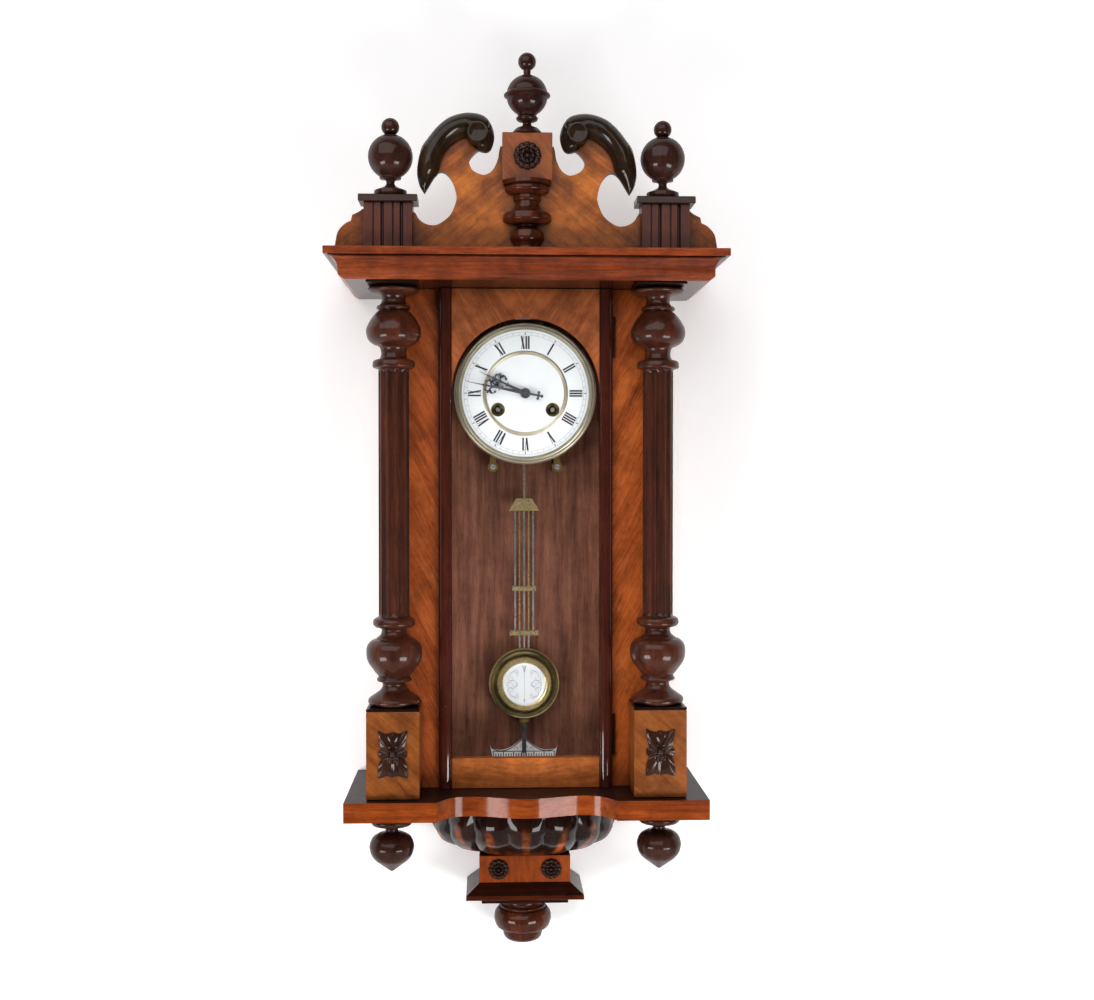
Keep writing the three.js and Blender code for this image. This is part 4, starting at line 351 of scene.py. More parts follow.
# The underside gets a darker, glossy copy of the walnut: painted shade under the cornice.
shaded_soffit_wood = timber("painted_shade_cornice_soffit", "#4a2114", "#34160d", "#1c0a06", grain=(1, 0, 0),
                     figure=0.6, coat=0.6, shine=0.08, grime_and_shade=0.5, reach=30)
cornice = post("moulded_cornice", [(cornice_half + out, cornice_front + out, z) for out, z in profile],
               moulding_walnut, "moulding_walnut", ["cornice"])
face_toward(cornice, -1, shaded_soffit_wood)

# Base plate: a thick plate whose front edge bows in a serpentine between two breaks, veneered on its edge
# with the grain running along it. Its top gets a darker, duller copy of the walnut: painted shade.
def plate_of(outline, low, high, flat="XZ", holes=()):
    """Points and faces of a plate from closed outlines, from low to high."""
    builder = bmesh.new()
    edges = []
    for loop in [outline, *holes]:
        ring = [builder.verts.new((x, y, 0)) for x, y in loop]
        edges += [builder.edges.new((ring[i - 1], ring[i])) for i in range(len(ring))]
    bmesh.ops.triangle_fill(builder, edges=edges, use_beauty=True)
    builder.verts.index_update()
    count = len(builder.verts)
    flat_points = [tuple(v.co) for v in builder.verts]
    flat_faces = [tuple(v.index for v in face.verts) for face in builder.faces]
    rims = [tuple(v.index for v in edge.verts) for edge in builder.edges if edge.is_boundary]
    builder.free()
    if flat == "XY":
        points = [(x, y, level) for level in (low, high) for x, y, _ in flat_points]
    else:
        points = [(x, level, z) for level in (low, high) for x, z, _ in flat_points]
    faces = flat_faces + [tuple(i + count for i in reversed(face)) for face in flat_faces]
    faces += [(a, b, b + count, a + count) for a, b in rims]
    return points, faces


def smooth_through(points, steps):
    """Points of a Catmull-Rom curve. A point given with a third value is a sharp corner."""
    runs, run = [], []
    for point in points:
        run.append(point[:2])
        if len(point) > 2 and len(run) > 1:
            runs.append(run)
            run = [point[:2]]
    if len(run) > 1:
        runs.append(run)
    line = []
    for run in runs:
        for i in range(len(run) - 1):
            p0, p1, p2 = run[max(i - 1, 0)], run[i], run[i + 1]
            p3 = run[min(i + 2, len(run) - 1)]
            count = steps if len(run) > 2 else 1
            for step in range(count):
                t = step / count
                line.append(tuple(
                    0.5 * (2 * p1[k] + (p2[k] - p0[k]) * t + (2 * p0[k] - 5 * p1[k] + 4 * p2[k]
                                                              - p3[k]) * t * t
                           + (3 * p1[k] - p0[k] - 3 * p2[k] + p3[k]) * t ** 3) for k in (0, 1)))
    line.append(runs[-1][-1])
    return line


base_low, base_high, base_half, base_front = -448.0, -427.3, 190, -167
bow = [(94, base_front, 1), (89.3, -159), (81.8, -149), (71.4, -142.4), (58.3, -140.5), (44.2, -142.9),
       (28.2, -148.2), (13.2, -152.7), (0, -154)]
half_front = smooth_through(bow, 5)
front_edge = half_front + [(-x, y) for x, y in reversed(half_front[:-1])]
base_outline = [(base_half, 0), (base_half, base_front), *front_edge, (-base_half, base_front),
                (-base_half, 0)]
# The edge is orange-brown under a thick, slightly dulled polish.
base_edge_walnut = timber("orange_walnut_base_edge", "#a9521f", "#823814", "#481c0a", grain=(1, 0, 0),
                          grime_and_shade=0.7, reach=9, coat=0.42, shine=0.13)
base_plate = add_piece("serpentine_base_plate", *plate_of(base_outline, base_low, base_high, "XY"),
                       base_edge_walnut, "case", "moulding_walnut", ["base_plate"], smooth=30, bevel=0.7)
# Painted shade: the faces that look up take this darker copy of the wood.
shaded_top_wood = timber("painted_shade_base_top", "#3c1d14", "#2a130d", "#180a08", grain=(1, 0, 0), figure=0.7,
                  rough=0.45, coat=0.1, grime_and_shade=0.8, reach=30)
face_toward(base_plate, 1, shaded_top_wood)

# Pedestals: solid blocks veneered in golden walnut, each with a dark slip under the column above.
# A square post stands behind the leaf, which is carved in a darker wood and glued on.
# The veneer is golden and nearly matt, the slip black and glossy, the carving dark brown and glossy, with
# painted shade and old polish darkening its hollows.
pedestal_veneer = timber("golden_walnut_pedestal_veneer", "#9b5926", "#82461d", "#552914", tilt=48,
                         grime_and_shade=0.5, reach=10, figure=0.85, mottle=0.35)
black_walnut = timber("black_polished_walnut", "#2c1712", "#1d0f0c", "#100807", grime_and_shade=0.3, figure=0.7,
                      rough=0.3, coat=0.4)
carved_walnut = timber("carved_dark_walnut", "#4a2a1e", "#301a12", "#140a07", grime_and_shade=0.9, reach=2.5,
                       figure=0.7, rough=0.3, coat=0.5)


def carved(name, reach, height, centre, face, across, material, slot, rings, arms):
    """A carving on a flat face: reach and height are functions of the angle, and of the angle and
    the share of the way out. A low skirt round it goes a little into the face."""
    points, faces = [(0, 0, height(0.0, 0.0))], []
    for ring in range(1, rings + 1):
        share = ring / rings
        for arm in range(arms):
            angle = 2 * math.pi * arm / arms
            points.append((share * reach(angle) * math.cos(angle), share * reach(angle) * math.sin(angle),
                           height(angle, share)))
    for arm in range(arms):
        angle = 2 * math.pi * arm / arms
        skirt = 1.01 * reach(angle)
        points.append((skirt * math.cos(angle), skirt * math.sin(angle), -0.3))
    faces += [(0, 1 + arm, 1 + (arm + 1) % arms) for arm in range(arms)]
    for ring in range(rings):
        for arm in range(arms):
            a, b = 1 + ring * arms + arm, 1 + ring * arms + (arm + 1) % arms
            faces.append((a, a + arms, b + arms, b))
    start = 1 + rings * arms
    faces.append(tuple(start + arm for arm in range(arms)))
    placed = [(centre[0] + x * across, face - rise, centre[1] + z) for x, z, rise in points]
    return add_piece(name, placed, faces, material, "case", slot, smooth=38)


leaf_half = [(0, 23.2, 1), (4.5, 21.6), (9, 22.2), (15, 24.9, 1), (14.3, 19), (13.3, 12), (11.4, 5.6, 1),
             (14, 4), (14.9, 0), (13.2, -3.6), (11.8, -4.6, 1), (13.8, -9.5), (14.9, -15), (15, -20.5, 1),
             (15.2, -24.2, 1), (10.5, -23.8), (6.5, -22), (3.4, -22.6), (0, -23.4, 1)]
leaf_line = smooth_through(leaf_half, 4)
leaf_line += [(-x, z) for x, z in reversed(leaf_line[1:-1])]
leaf_angles = [(math.atan2(z, x), math.hypot(x, z)) for x, z in leaf_line]


def turn_between(a, b):
    """The angle between two directions, from 0 to half a turn."""
    return abs((a - b + math.pi) % (2 * math.pi) - math.pi)


def leaf_reach(angle):
    """How far the leaf's outline lies from its middle, between the two nearest of its points."""
    near = sorted(leaf_angles, key=lambda point: turn_between(point[0], angle))[:2]
    gaps = [turn_between(point[0], angle) + 1e-6 for point in near]
    return (near[0][1] * gaps[1] + near[1][1] * gaps[0]) / (gaps[0] + gaps[1])


def leaf_height(angle, share):
    """Folded lobes with crisp ridges that fan out from a round boss."""
    turn = abs((math.degrees(angle) - 90 + 180) % 360 - 180)
    if turn < 18:
        fold = 1 - turn / 18
    elif turn < 62:
        fold = 0.95 - 0.75 * abs(turn - 38) / 24
    elif turn < 112:
        fold = 0.55 - 0.35 * abs(turn - 86) / 26
    else:
        fold = 0.5 + 0.3 * math.cos(math.radians((turn - 146) * 2.4))
    ribs = 0.17 * abs(math.sin(math.radians(turn * 8))) * min(1, 2.5 * share) if turn > 18 else 0.1 * share
    swell = math.sin(math.pi * min(share, 1.0) ** 0.8) ** 0.6 if share < 0.98 else 0.2
    groove = 1.2 * math.exp(-((share - 0.24) / 0.06) ** 2)
    boss = 4.4 * math.sqrt(max(0.0, 1 - (share * leaf_reach(angle) / 3.9) ** 2))
    return max(0.5, 0.7 + 2.9 * fold * swell + 2.0 * ribs - groove, boss)


pedestal_low, pedestal_high, column_x = -427.0, -332.0, 139.8
leaf_z, pedestal_front = -379.5, -154.3
for side_name, side in (("left", -1), ("right", 1)):
    x = side * column_x
    rows = [(27.0, 153.7, pedestal_low + 0.05), (27.6, 154.3, pedestal_low + 0.7), (27.6, 154.3, -336.2),
            (27.1, 153.8, -335.2)]
    post(f"{side_name}_pedestal_block", rows, pedestal_veneer, "veneer", [f"{side_name}_pedestal"], x=x,
         back=-97)
    rows = [(27.0, 153.6, -335.2), (27.7, 154.4, -334.6), (27.8, 154.5, -332.6), (27.2, 153.9, -332.1)]
    post(f"{side_name}_pedestal_slip", rows, black_walnut, "dark_walnut", x=x, back=-97.1)
    carved(f"{side_name}_pedestal_leaf", leaf_reach, leaf_height, (x, leaf_z), pedestal_front, side,
           carved_walnut, "dark_walnut", rings=20, arms=200)


def lofted(name, rings, material, slot, replaces=(), body="case", smooth=30):
    """A closed skin through rings that have as many points each."""
    count = len(rings[0])
    points = [point for ring in rings for point in ring]
    faces = []
    for level in range(len(rings) - 1):
        for i in range(count):
            a, b = level * count + i, level * count + (i + 1) % count
            faces.append((a, b, b + count, a + count))
    faces.append(tuple(range(count)))
    faces.append(tuple((len(rings) - 1) * count + i for i in range(count)))
    return add_piece(name, points, faces, material, body, slot, replaces, smooth=smooth)


# A hairline crack has opened in the veneer of the left block.
crack = [(-137.6, -404.2), (-136.4, -405.6), (-133.6, -409.8), (-129.9, -414.5), (-127.4, -418.6),
         (-123, -424)]
crack_half, crack_front, crack_back = 0.22, -154.42, -154.2
rings = [[(x - crack_half, crack_front, z), (x + crack_half, crack_front, z),
          (x + crack_half, crack_back, z), (x - crack_half, crack_back, z)] for x, z in crack]
lofted("left_pedestal_veneer_crack", rings, black_walnut, "dark_walnut", smooth=None)


# Columns: turned in one piece from dark walnut and polished on the lathe, with bulbs and rings at
# both ends of a shaft with ten flutes.
def turned(name, profile, place, material, slot, replaces=(), body="case", sides=72, along="Z",
           carve=None, smooth=28, arc=1.0):
    """A turning. profile gives radius and distance along the axis, place the two fixed coordinates
    of the axis, and carve what share of the radius is left at an angle and a distance."""
    points, faces = [], []
    count = sides if arc == 1.0 else sides + 1
    for radius, level in profile:
        for side in range(count):
            angle = 2 * math.pi * arc * side / sides
            share = carve(angle, level) if carve else 1.0
            across, other = radius * share * math.cos(angle), radius * share * math.sin(angle)
            if along == "Z":
                points.append((place[0] + across, place[1] - other, level))
            else:
                points.append((place[0] + across, level, place[1] + other))
    for row in range(len(profile) - 1):
        for side in range(sides):
            a = row * count + side
            b = row * count + (side + 1) % count
            faces.append((a, b, b + count, a + count))
        if arc != 1.0:
            a, b = row * count, row * count + count - 1
            faces.append((a, a + count, b + count, b))
    last = (len(profile) - 1) * count
    if profile[0] != profile[-1]:
        if profile[0][0] > 0:
            faces.append(tuple(range(count)))
        if profile[-1][0] > 0:
            faces.append(tuple(last + side for side in range(count)))
    return add_piece(name, points, faces, material, body, slot, replaces, smooth=smooth)


def along_profile(shares, radius, height, bottom):
    """Radius and height in millimetres from shares of a widest radius and of a height."""
    rows = [(share[0] * radius, bottom + share[1] * height, *share[2:]) for share in shares]
    return smooth_through(rows, 4)


# Dark red-brown with a hard, clear polish; painted shade darkens the grooves nearly to black.
polished_column = timber("dark_turned_walnut", "#69321e", "#3f1d11", "#190c07", figure=0.8, rough=0.4,
                         coat=0.38, shine=0.03, grime_and_shade=0.9, reach=9)
lower_end = [(.86, 0), (.92, .025), (.935, .055), (.88, .085), (.695, .125), (.49, .175), (.42, .225),
             (.475, .262), (.6, .272, 1), (.627, .29), (.6, .305, 1), (.56, .325, 1), (.745, .4), (.95, .5),
             (1, .6), (.96, .68), (.8, .735), (.66, .75, 1), (.62, .765, 1), (.49, .8), (.447, .85),
             (.51, .872), (.66, .885, 1), (.745, .91), (.755, .94), (.72, .975), (.6, .997, 1), (.55, 1)]
upper_end = [(.55, 0), (.6, .004, 1), (.74, .02), (.755, .06), (.72, .1), (.6, .118, 1), (.5, .128),
             (.46, .165), (.455, .215), (.51, .268), (.66, .29), (.79, .315), (.9, .352), (.96, .4),
             (.985, .46), (.96, .505), (.912, .545), (.84, .59), (.758, .63), (.67, .665), (.59, .694, 1),
             (.52, .71), (.52, .718, 1), (.59, .725), (.61, .745), (.59, .765, 1), (.47, .785), (.43, .82),
             (.43, .86), (.47, .892, 1), (.62, .9, 1), (.8, .918), (.9, .94), (.925, .965), (.88, .99),
             (.8, 1)]
shaft_low, shaft_high, shaft_radius, flute_deep = -238.6, 22.6, 16.1, 0.15
bulb_radius, column_y = 29.5, -126.6
column_profile = along_profile(lower_end, bulb_radius, 93.1, -331.7)
column_profile += [(shaft_radius, shaft_low + 0.2)]
column_profile += [(shaft_radius, shaft_low + 1 + i) for i in range(5)]
column_profile += [(shaft_radius, shaft_low + (shaft_high - shaft_low) * i / 8) for i in range(1, 8)]
column_profile += [(shaft_radius, shaft_high - 5 + i) for i in range(5)]
column_profile += [(shaft_radius, shaft_high - 0.2)]
column_profile += along_profile(upper_end, bulb_radius, 86.5, shaft_high)


def flutes(angle, level):
    """Ten hollow flutes with narrow flats between, running out in a curve at both ends."""
    if not shaft_low < level < shaft_high:
        return 1.0
    end = min(level - shaft_low, shaft_high - level)
    fade = min(1.0, end / 4) ** 0.5
    turn = (angle / (2 * math.pi) * 10) % 1
    hollow = max(0.0, 1 - ((turn - 0.5) / 0.38) ** 2)
    return 1 - flute_deep * math.sqrt(hollow) * fade


for side_name, side in (("left", -1), ("right", 1)):
    x = side * column_x
    turned(f"{side_name}_fluted_column", column_profile, (x, column_y), polished_column, "dark_walnut",
           [f"{side_name}_column"], sides=120, carve=flutes, smooth=34)
    cap = [(25.7, 164.5, 109.1), (26.2, 165, 109.5), (26.2, 165, 110.9), (25.8, 164.6, 111.3)]
    post(f"{side_name}_column_abacus", cap, black_walnut, "dark_walnut", x=x, back=-100.4)


# Pediment board: a fretsawn board faced with two book-matched leaves of golden walnut veneer and
# stained dark along its sawn edge.
# The sawn edge is near black, the veneer golden with broad cloudy figure.
edge_stain = timber("dark_stained_sawn_edge", "#33190d", "#24110a", "#140a06", figure=0.6, grime_and_shade=0.3)
pediment_veneer = timber("golden_walnut_pediment_veneer", "#c87328", "#a2551c", "#60290e", tilt=52, seam=0,
                         grime_and_shade=0.85, reach=32, figure=1.0, streak_mm=4, mottle=0.5)


def stain_edge(piece, material):
    """Gives the faces that look sideways, up or down a second material."""
    piece.data.materials.append(material)
    for face in piece.data.polygons:
        if abs(face.normal.y) < 0.7:
            face.material_index = 1


board_shares = [
    (1, 0, 1), (1, .03, 1), (.996, .075), (.984, .143), (.95, .2), (.917, .225, 1), (.911, .268, 1),
    (.875, .294), (.857, .315, 1), (.6, .3, 1), (.582, .285), (.564, .24), (.533, .207), (.494, .194),
    (.456, .208), (.403, .27), (.373, .366), (.37, .434), (.388, .526), (.419, .59), (.45, .609),
    (.475, .592, 1), (.51, .64), (.51, .767), (.465, .894), (.39, .972), (.303, .998), (.238, .984),
    (.202, .894), (.217, .805), (.265, .765), (.297, .711), (.302, .672), (.284, .619), (.247, .59),
    (.216, .586), (.18, .621), (.154, .698), (.146, .767), (.139, .804, 1), (0, .804)]
board_half, board_low, board_tall, board_front, board_back = 197.8, 142.85, 134, -157.3, -147
board_right = smooth_through(
    [(s[0] * board_half, board_low + s[1] * board_tall, *s[2:]) for s in board_shares], 4)
board_outline = board_right[:-1] + [(-x, z) for x, z in reversed(board_right[:-1])]
pediment = add_piece("pediment_fretted_board", *plate_of(board_outline, board_front, board_back),
                     pediment_veneer, "case", "golden_veneer", ["pediment_board"], smooth=30)
stain_edge(pediment, edge_stain)


# Scrolls: carved mouldings of dark olive-brown walnut glued on the board, each a convex roll that
# tapers to a hanging tip and curls round a flat eye at its upper end.
# Almost black, with an olive cast and a wet shine.
olive_walnut = timber("olive_brown_carved_walnut", "#43301e", "#2a1d13", "#140d08", figure=0.8, rough=0.35,
                      coat=0.45, shine=0.05, grime_and_shade=0.7, reach=8, tilt=20)
scroll_outer = [(.1, 0), (.03, .118), (.005, .3), (.055, .55), (.14, .68), (.27, .833), (.425, .945),
                (.63, 1), (.825, .979), (.928, .903), (.995, .74), (.967, .582), (.9, .513), (.786, .534)]
scroll_inner = [(.1, 0), (.219, .19), (.277, .261), (.322, .437), (.413, .577), (.54, .672), (.67, .708)]
eye, eye_radius = (.777, .728), 11.0


def resampled(line, count):
    """The same line with points at even distances."""
    lengths = [0.0]
    for a, b in zip(line, line[1:]):
        lengths.append(lengths[-1] + math.dist(a, b))
    even = []
    for i in range(count):
        target = lengths[-1] * i / (count - 1)
        j = max(k for k in range(len(lengths) - 1) if lengths[k] <= target + 1e-9)
        share = (target - lengths[j]) / max(lengths[j + 1] - lengths[j], 1e-9)
        even.append(tuple(line[j][k] + (line[j + 1][k] - line[j][k]) * share for k in (0, 1)))
    return even


def on_scroll(share):
    """A point of the right scroll in millimetres, from shares of its width and height."""
    return (113.7 - share[0] * 80.3, 199.85 + share[1] * 84)


outer_all = smooth_through([on_scroll(s) for s in scroll_outer], 8)
join_at = 8 * 7
outer_roll = resampled(outer_all[:join_at + 1], 40) + resampled(outer_all[join_at:], 26)[1:]
eye_place = on_scroll(eye)
inner_roll = resampled(smooth_through([on_scroll(s) for s in scroll_inner], 8), 40)
first = math.atan2(inner_roll[-1][1] - eye_place[1], inner_roll[-1][0] - eye_place[0])
last = math.atan2(outer_roll[-1][1] - eye_place[1], outer_roll[-1][0] - eye_place[0])
sweep = last - first if last > first else last - 2 * math.pi - first
for i in range(1, 26):
    turn = first + sweep * i / 25
    inner_roll.append((eye_place[0] + eye_radius * math.cos(turn),
                       eye_place[1] + eye_radius * math.sin(turn)))
roll_steps, scroll_back = 16, -157.6
for side_name, side in (("left", -1), ("right", 1)):
    rings = []
    for i, (out, within) in enumerate(zip(outer_roll, inner_roll)):
        wide = math.dist(out, within)
        rise = min(13.0, 2.5 + wide * 0.42)
        ring = []
        for step in range(roll_steps + 1):
            u = step / roll_steps
            lift = 4.2 + (rise - 1.2) * math.sin(math.pi * u) ** 0.75 if 0 < u < 1 else 3.4
            ring.append((side * (out[0] + (within[0] - out[0]) * u), scroll_back - lift,
                         out[1] + (within[1] - out[1]) * u))
        ring += [(side * within[0], scroll_back, within[1]), (side * out[0], scroll_back, out[1])]
        rings.append(ring)
    lofted(f"{side_name}_scroll_roll", rings, olive_walnut, "olive_walnut", [f"{side_name}_scroll"],
           smooth=38)
    eye_profile = [(0, -176.5), (7.6, -176.6), (8.4, -177), (9.8, -176.9), (10.6, -175.8), (10.9, -174),
                   (11, scroll_back), (0, scroll_back)]
    turned(f"{side_name}_scroll_eye", eye_profile, (side * eye_place[0], eye_place[1]), olive_walnut,
           "olive_walnut", along="Y", sides=48, smooth=40)


# Side blocks: square blocks of red walnut cut with upright reeds, slotted over the board's
# shoulders, with a moulded cap.
# The block is dull red-brown, the cap darker with a thicker polish.
block_walnut = timber("red_walnut_reeded_block", "#6e3018", "#4e2012", "#2a110a", grime_and_shade=0.9, reach=5,
                      figure=0.7, coat=0.3)
cap_walnut = timber("dark_walnut_block_cap", "#45251a", "#2f1811", "#1a0c08", grain=(1, 0, 0), grime_and_shade=0.7,
                    reach=5, figure=0.7, coat=0.5)
# Each groove is a share of the half width, with its width and its depth.
reeds = ((-0.6, 1.6, 1.2), (-0.24, 3.4, 3.4), (0.2, 1.8, 1.4), (0.55, 3.6, 3.6))
block_half, block_front, block_back, block_x = 24.9, -170, -143, 142.5
cap_back, cap_middle = -142, -145.1
for side_name, side in (("left", -1), ("right", 1)):
    outline = [(-block_half, block_back), (-block_half, -169.4), (0.6 - block_half, block_front)]
    for share, wide, deep in reeds:
        outline += [(share * block_half - wide / 2 + wide * i / 6,
                     block_front + deep * (1 - (1 - i / 3) ** 4)) for i in range(7)]
    outline += [(block_half - 0.6, block_front), (block_half, -169.4), (block_half, block_back)]
    x = side * block_x
    placed = [(x + a, b) for a, b in outline]
    add_piece(f"{side_name}_reeded_block", *plate_of(placed, board_low, 190.05, "XY"), block_walnut,
              "case", "dark_walnut", [f"{side_name}_block"], smooth=30)
    rows = [(29.6, 190.1), (30.2, 190.7), (30.2, 196.6), (29.5, 197.4)]
    rings = []
    for half, z in rows:
        rings.append([(x - half, cap_back, z), (x - half, cap_middle - half, z),
                      (x + half, cap_middle - half, z), (x + half, cap_back, z)])
    lofted(f"{side_name}_block_cap", rings, cap_walnut, "dark_walnut", smooth=24)

# Centre block: a veneered block with a carved rosette, standing on a half turning that is glued to
# the face of the board.
# The block is red-brown veneer with a thin polish, the turning darker and glossy.
centre_veneer = timber("red_walnut_centre_block", "#b0602e", "#8a4822", "#502612", grime_and_shade=0.6, reach=6,
                       figure=0.8, tilt=35)
cube = [(-25.7, 214), (25.7, 214), (25.7, 262.4), (-25.7, 262.4)]
add_piece("centre_block_cube", *plate_of(cube, block_front, block_back), centre_veneer, "case", "veneer",
          ["centre_block"], bevel=0.8)
spindle_shares = [(.6, 0), (.56, .05), (.6, .1), (.69, .15), (.71, .2), (.66, .275, 1), (.48, .315),
                  (.345, .335, 1), (.388, .36), (.36, .385, 1), (.8, .39, 1), (.98, .42), (1, .46),
                  (.964, .525), (.82, .54, 1), (.62, .58), (.522, .638), (.48, .702, 1), (.56, .724),
                  (.575, .76), (.56, .802, 1), (.68, .815), (.884, .848), (.916, .892), (.863, .936, 1),
                  (.988, .951, 1), (.988, 1)]
red_turned = timber("red_brown_turned_walnut", "#6f311a", "#431e10", "#1c0d07", figure=0.7, rough=0.4,
                    coat=0.45, shine=0.03, grime_and_shade=0.9, reach=7)
turned("centre_half_turning", along_profile(spindle_shares, 24.9, 71.2, board_low), (0, scroll_back),
       red_turned, "dark_walnut", sides=48, arc=0.5, smooth=30)


def rosette_reach(angle):
    """Twelve rounded petals round the rim."""
    return 1 - 0.07 * (1 - abs(math.cos(6 * angle))) ** 1.5


def rosette_height(angle, share):
    """Two rings of petals round a button, with grooves between."""
    outer = math.exp(-((share - 0.78) / 0.17) ** 4) * (0.55 + 0.45 * abs(math.cos(6 * angle)) ** 0.6)
    inner = math.exp(-((share - 0.42) / 0.13) ** 4) * (0.5 + 0.5 * abs(math.cos(4 * angle)) ** 0.6)
    button = math.sqrt(max(0.0, 1 - (share / 0.2) ** 2))
    return 0.22 + max(0.55 * outer, 0.68 * inner, 0.78 * button)


def rosette(name, radius, rise, centre, face):
    """A round carved flower, glued on a face that looks forward."""
    carved(name, lambda angle: radius * rosette_reach(angle),
           lambda angle, share: rise * rosette_height(angle, share), centre, face, 1, carved_walnut,
           "dark_walnut", rings=20, arms=96)


rosette("centre_rosette", 14.2, 4.5, (0, 238.2), block_front)


# Finials: a ball on a thin waisted foot with a small ball above, turned in purple-brown walnut and
# pegged into the blocks.
def ball(radius, middle, low, high, steps):
    """Part of a ball's outline, between two angles above the level, in degrees."""
    return [(radius * math.cos(math.radians(low + (high - low) * i / steps)),
             middle + radius * math.sin(math.radians(low + (high - low) * i / steps)))
            for i in range(steps + 1)]


# Dark purple-brown with a softer polish than the columns.
finial_walnut = timber("purple_brown_turned_walnut", "#522f26", "#361e18", "#170c09", figure=0.7, rough=0.4,
                       coat=0.4, shine=0.08, grime_and_shade=0.7, reach=6)
side_foot = [(.7, 0), (.735, .03), (.72, .075, 1), (.6, .09), (.32, .125), (.2, .155), (.2, .2),
             (.3, .222, 1), (.47, .228, 1), (.485, .245), (.47, .262, 1), (.4, .27)]
for side_name, side in (("left", -1), ("right", 1)):
    profile = along_profile(side_foot, 23.1, 81, 197.5) + ball(23.1, 238.8, -63, 78, 14)
    profile += ball(9.3, 269.2, -58, 90, 10)
    turned(f"{side_name}_ball_finial", profile, (side * 140.8, -156.5), finial_walnut, "dark_walnut",
           [f"{side_name}_finial"])
centre_foot = [(.74, 0), (.75, .015), (.7, .03, 1), (.64, .05), (.5, .08), (.26, .1, 1), (.22, .12),
               (.22, .145), (.3, .155, 1), (.47, .17), (.53, .19), (.53, .205), (.48, .218, 1),
               (.42, .225)]
profile = along_profile(centre_foot, 21.3, 84.4, 262.5) + ball(21.3, 302.8, -60, -9, 8)
profile += [(22.9, 301.3), (23.8, 301.8), (24.1, 302.8), (23.8, 303.8), (22.9, 304.3)]
profile += ball(21.3, 302.8, 9, 80, 9)
profile += ball(9.3, 337.6, -66, 90, 10)
turned("centre_ball_finial", profile, (0, -157), finial_walnut, "dark_walnut", ["centre_finial"])

# Bowl: half of a gadrooned bowl under the base plate, carved with eight swelling lobes. Painted shade
# darkens it toward the grooves, and an orange streak is painted down the crest of each lobe, in a band of
# height and in patches.
bowl_wide, bowl_deep, bowl_low, bowl_tall, lobes = 106, 131, -511.3, 63, 8
# Nearly black under a thick wet-looking polish.
bowl_walnut = timber("gadrooned_dark_walnut", "#34160b", "#1d0c07", "#0c0504", figure=0.8, rough=0.35,
                      coat=0.45, shine=0.03, grime_and_shade=0.95, reach=16)
tree = bowl_walnut.node_tree
gloss = next(node for node in tree.nodes if node.type == "BSDF_PRINCIPLED")
bowl_colour_with_shade = gloss.inputs["Base Color"].links[0].from_socket
place = add_node(tree, "ShaderNodeTexCoord").outputs["Object"]
parts = add_node(tree, "ShaderNodeSeparateXYZ", None, Vector=place)
level_x = add_node(tree, "ShaderNodeMath", {"operation": "MULTIPLY", 1: bowl_deep / bowl_wide},
                   n0=parts.outputs["X"])
round_bowl = add_node(tree, "ShaderNodeMath", {"operation": "ARCTAN2"}, n0=parts.outputs["Y"],
                      n1=level_x.outputs[0])
turns = add_node(tree, "ShaderNodeMath", {"operation": "MULTIPLY", 1: lobes}, n0=round_bowl.outputs[0])
lobe_wave = add_node(tree, "ShaderNodeMath", {"operation": "COSINE"}, n0=turns.outputs[0])
lobe_middle = add_node(tree, "ShaderNodeMath", {"operation": "ABSOLUTE"}, n0=lobe_wave.outputs[0])
mid_band = add_node(tree, "ShaderNodeMapRange", {"From Min": 0.9, "From Max": 1.0},
                    Value=lobe_middle.outputs[0])
below = add_node(tree, "ShaderNodeMapRange", {"From Min": -464 * mm, "From Max": -480 * mm},
                 Value=parts.outputs["Z"])
above = add_node(tree, "ShaderNodeMapRange", {"From Min": -505 * mm, "From Max": -494 * mm},
                 Value=parts.outputs["Z"])
patch_mm = 16.7
patchy = add_node(tree, "ShaderNodeTexNoise", {"Scale": 1000 / patch_mm, "Detail": 2, "Distortion": 0.4},
                  Vector=place)
patches = add_node(tree, "ShaderNodeMapRange", {"From Min": 0.35, "From Max": 0.7}, Value=patchy.outputs[0])
# An orange streak is painted on the crest of each lobe, between two heights and in noise patches.
tone_mask = mid_band
for limit in (below, above, patches):
    tone_mask = add_node(tree, "ShaderNodeMath", {"operation": "MULTIPLY"}, n0=tone_mask.outputs[0],
                    n1=limit.outputs[0])
lobe_streak = add_node(tree, "ShaderNodeMix", {"data_type": "RGBA", 7: linear("#b4551a")},
                       n0=tone_mask.outputs[0], n6=bowl_colour_with_shade)
tree.links.new(lobe_streak.outputs[2], gloss.inputs["Base Color"])
bowl_shares = [(.477, .477, 0), (.6, .52, .01), (.74, .58, .05), (.86, .7, .12), (.93, .78, .19),
               (.965, .85, .27), (1, .93, .4), (1.0, .975, .55), (1, 1, .7), (.97, .98, 1)]
lobe_depths = [.01, .04, .065, .075, .075, .07, .06, .05, .035, .01]
widths = smooth_through([(wide, high) for wide, _, high in bowl_shares], 4)
depths = smooth_through([(deep, high) for _, deep, high in bowl_shares], 4)
furrows = smooth_through([(furrow, row[2]) for furrow, row in zip(lobe_depths, bowl_shares)], 4)
bowl_sides = 256
rings = []
for (wide, high), (deep, _), (furrow, _) in zip(widths, depths, furrows):
    ring = []
    for i in range(bowl_sides + 1):
        turn = i / bowl_sides
        off = 2 * abs((lobes * turn + 0.5) % 1 - 0.5)
        lobe = 1 - furrow * off ** 2.2
        ring.append((-math.cos(math.pi * turn) * bowl_wide * wide * lobe,
                     -math.sin(math.pi * turn) * bowl_deep * deep * lobe, bowl_low + high * bowl_tall))
    rings.append(ring)
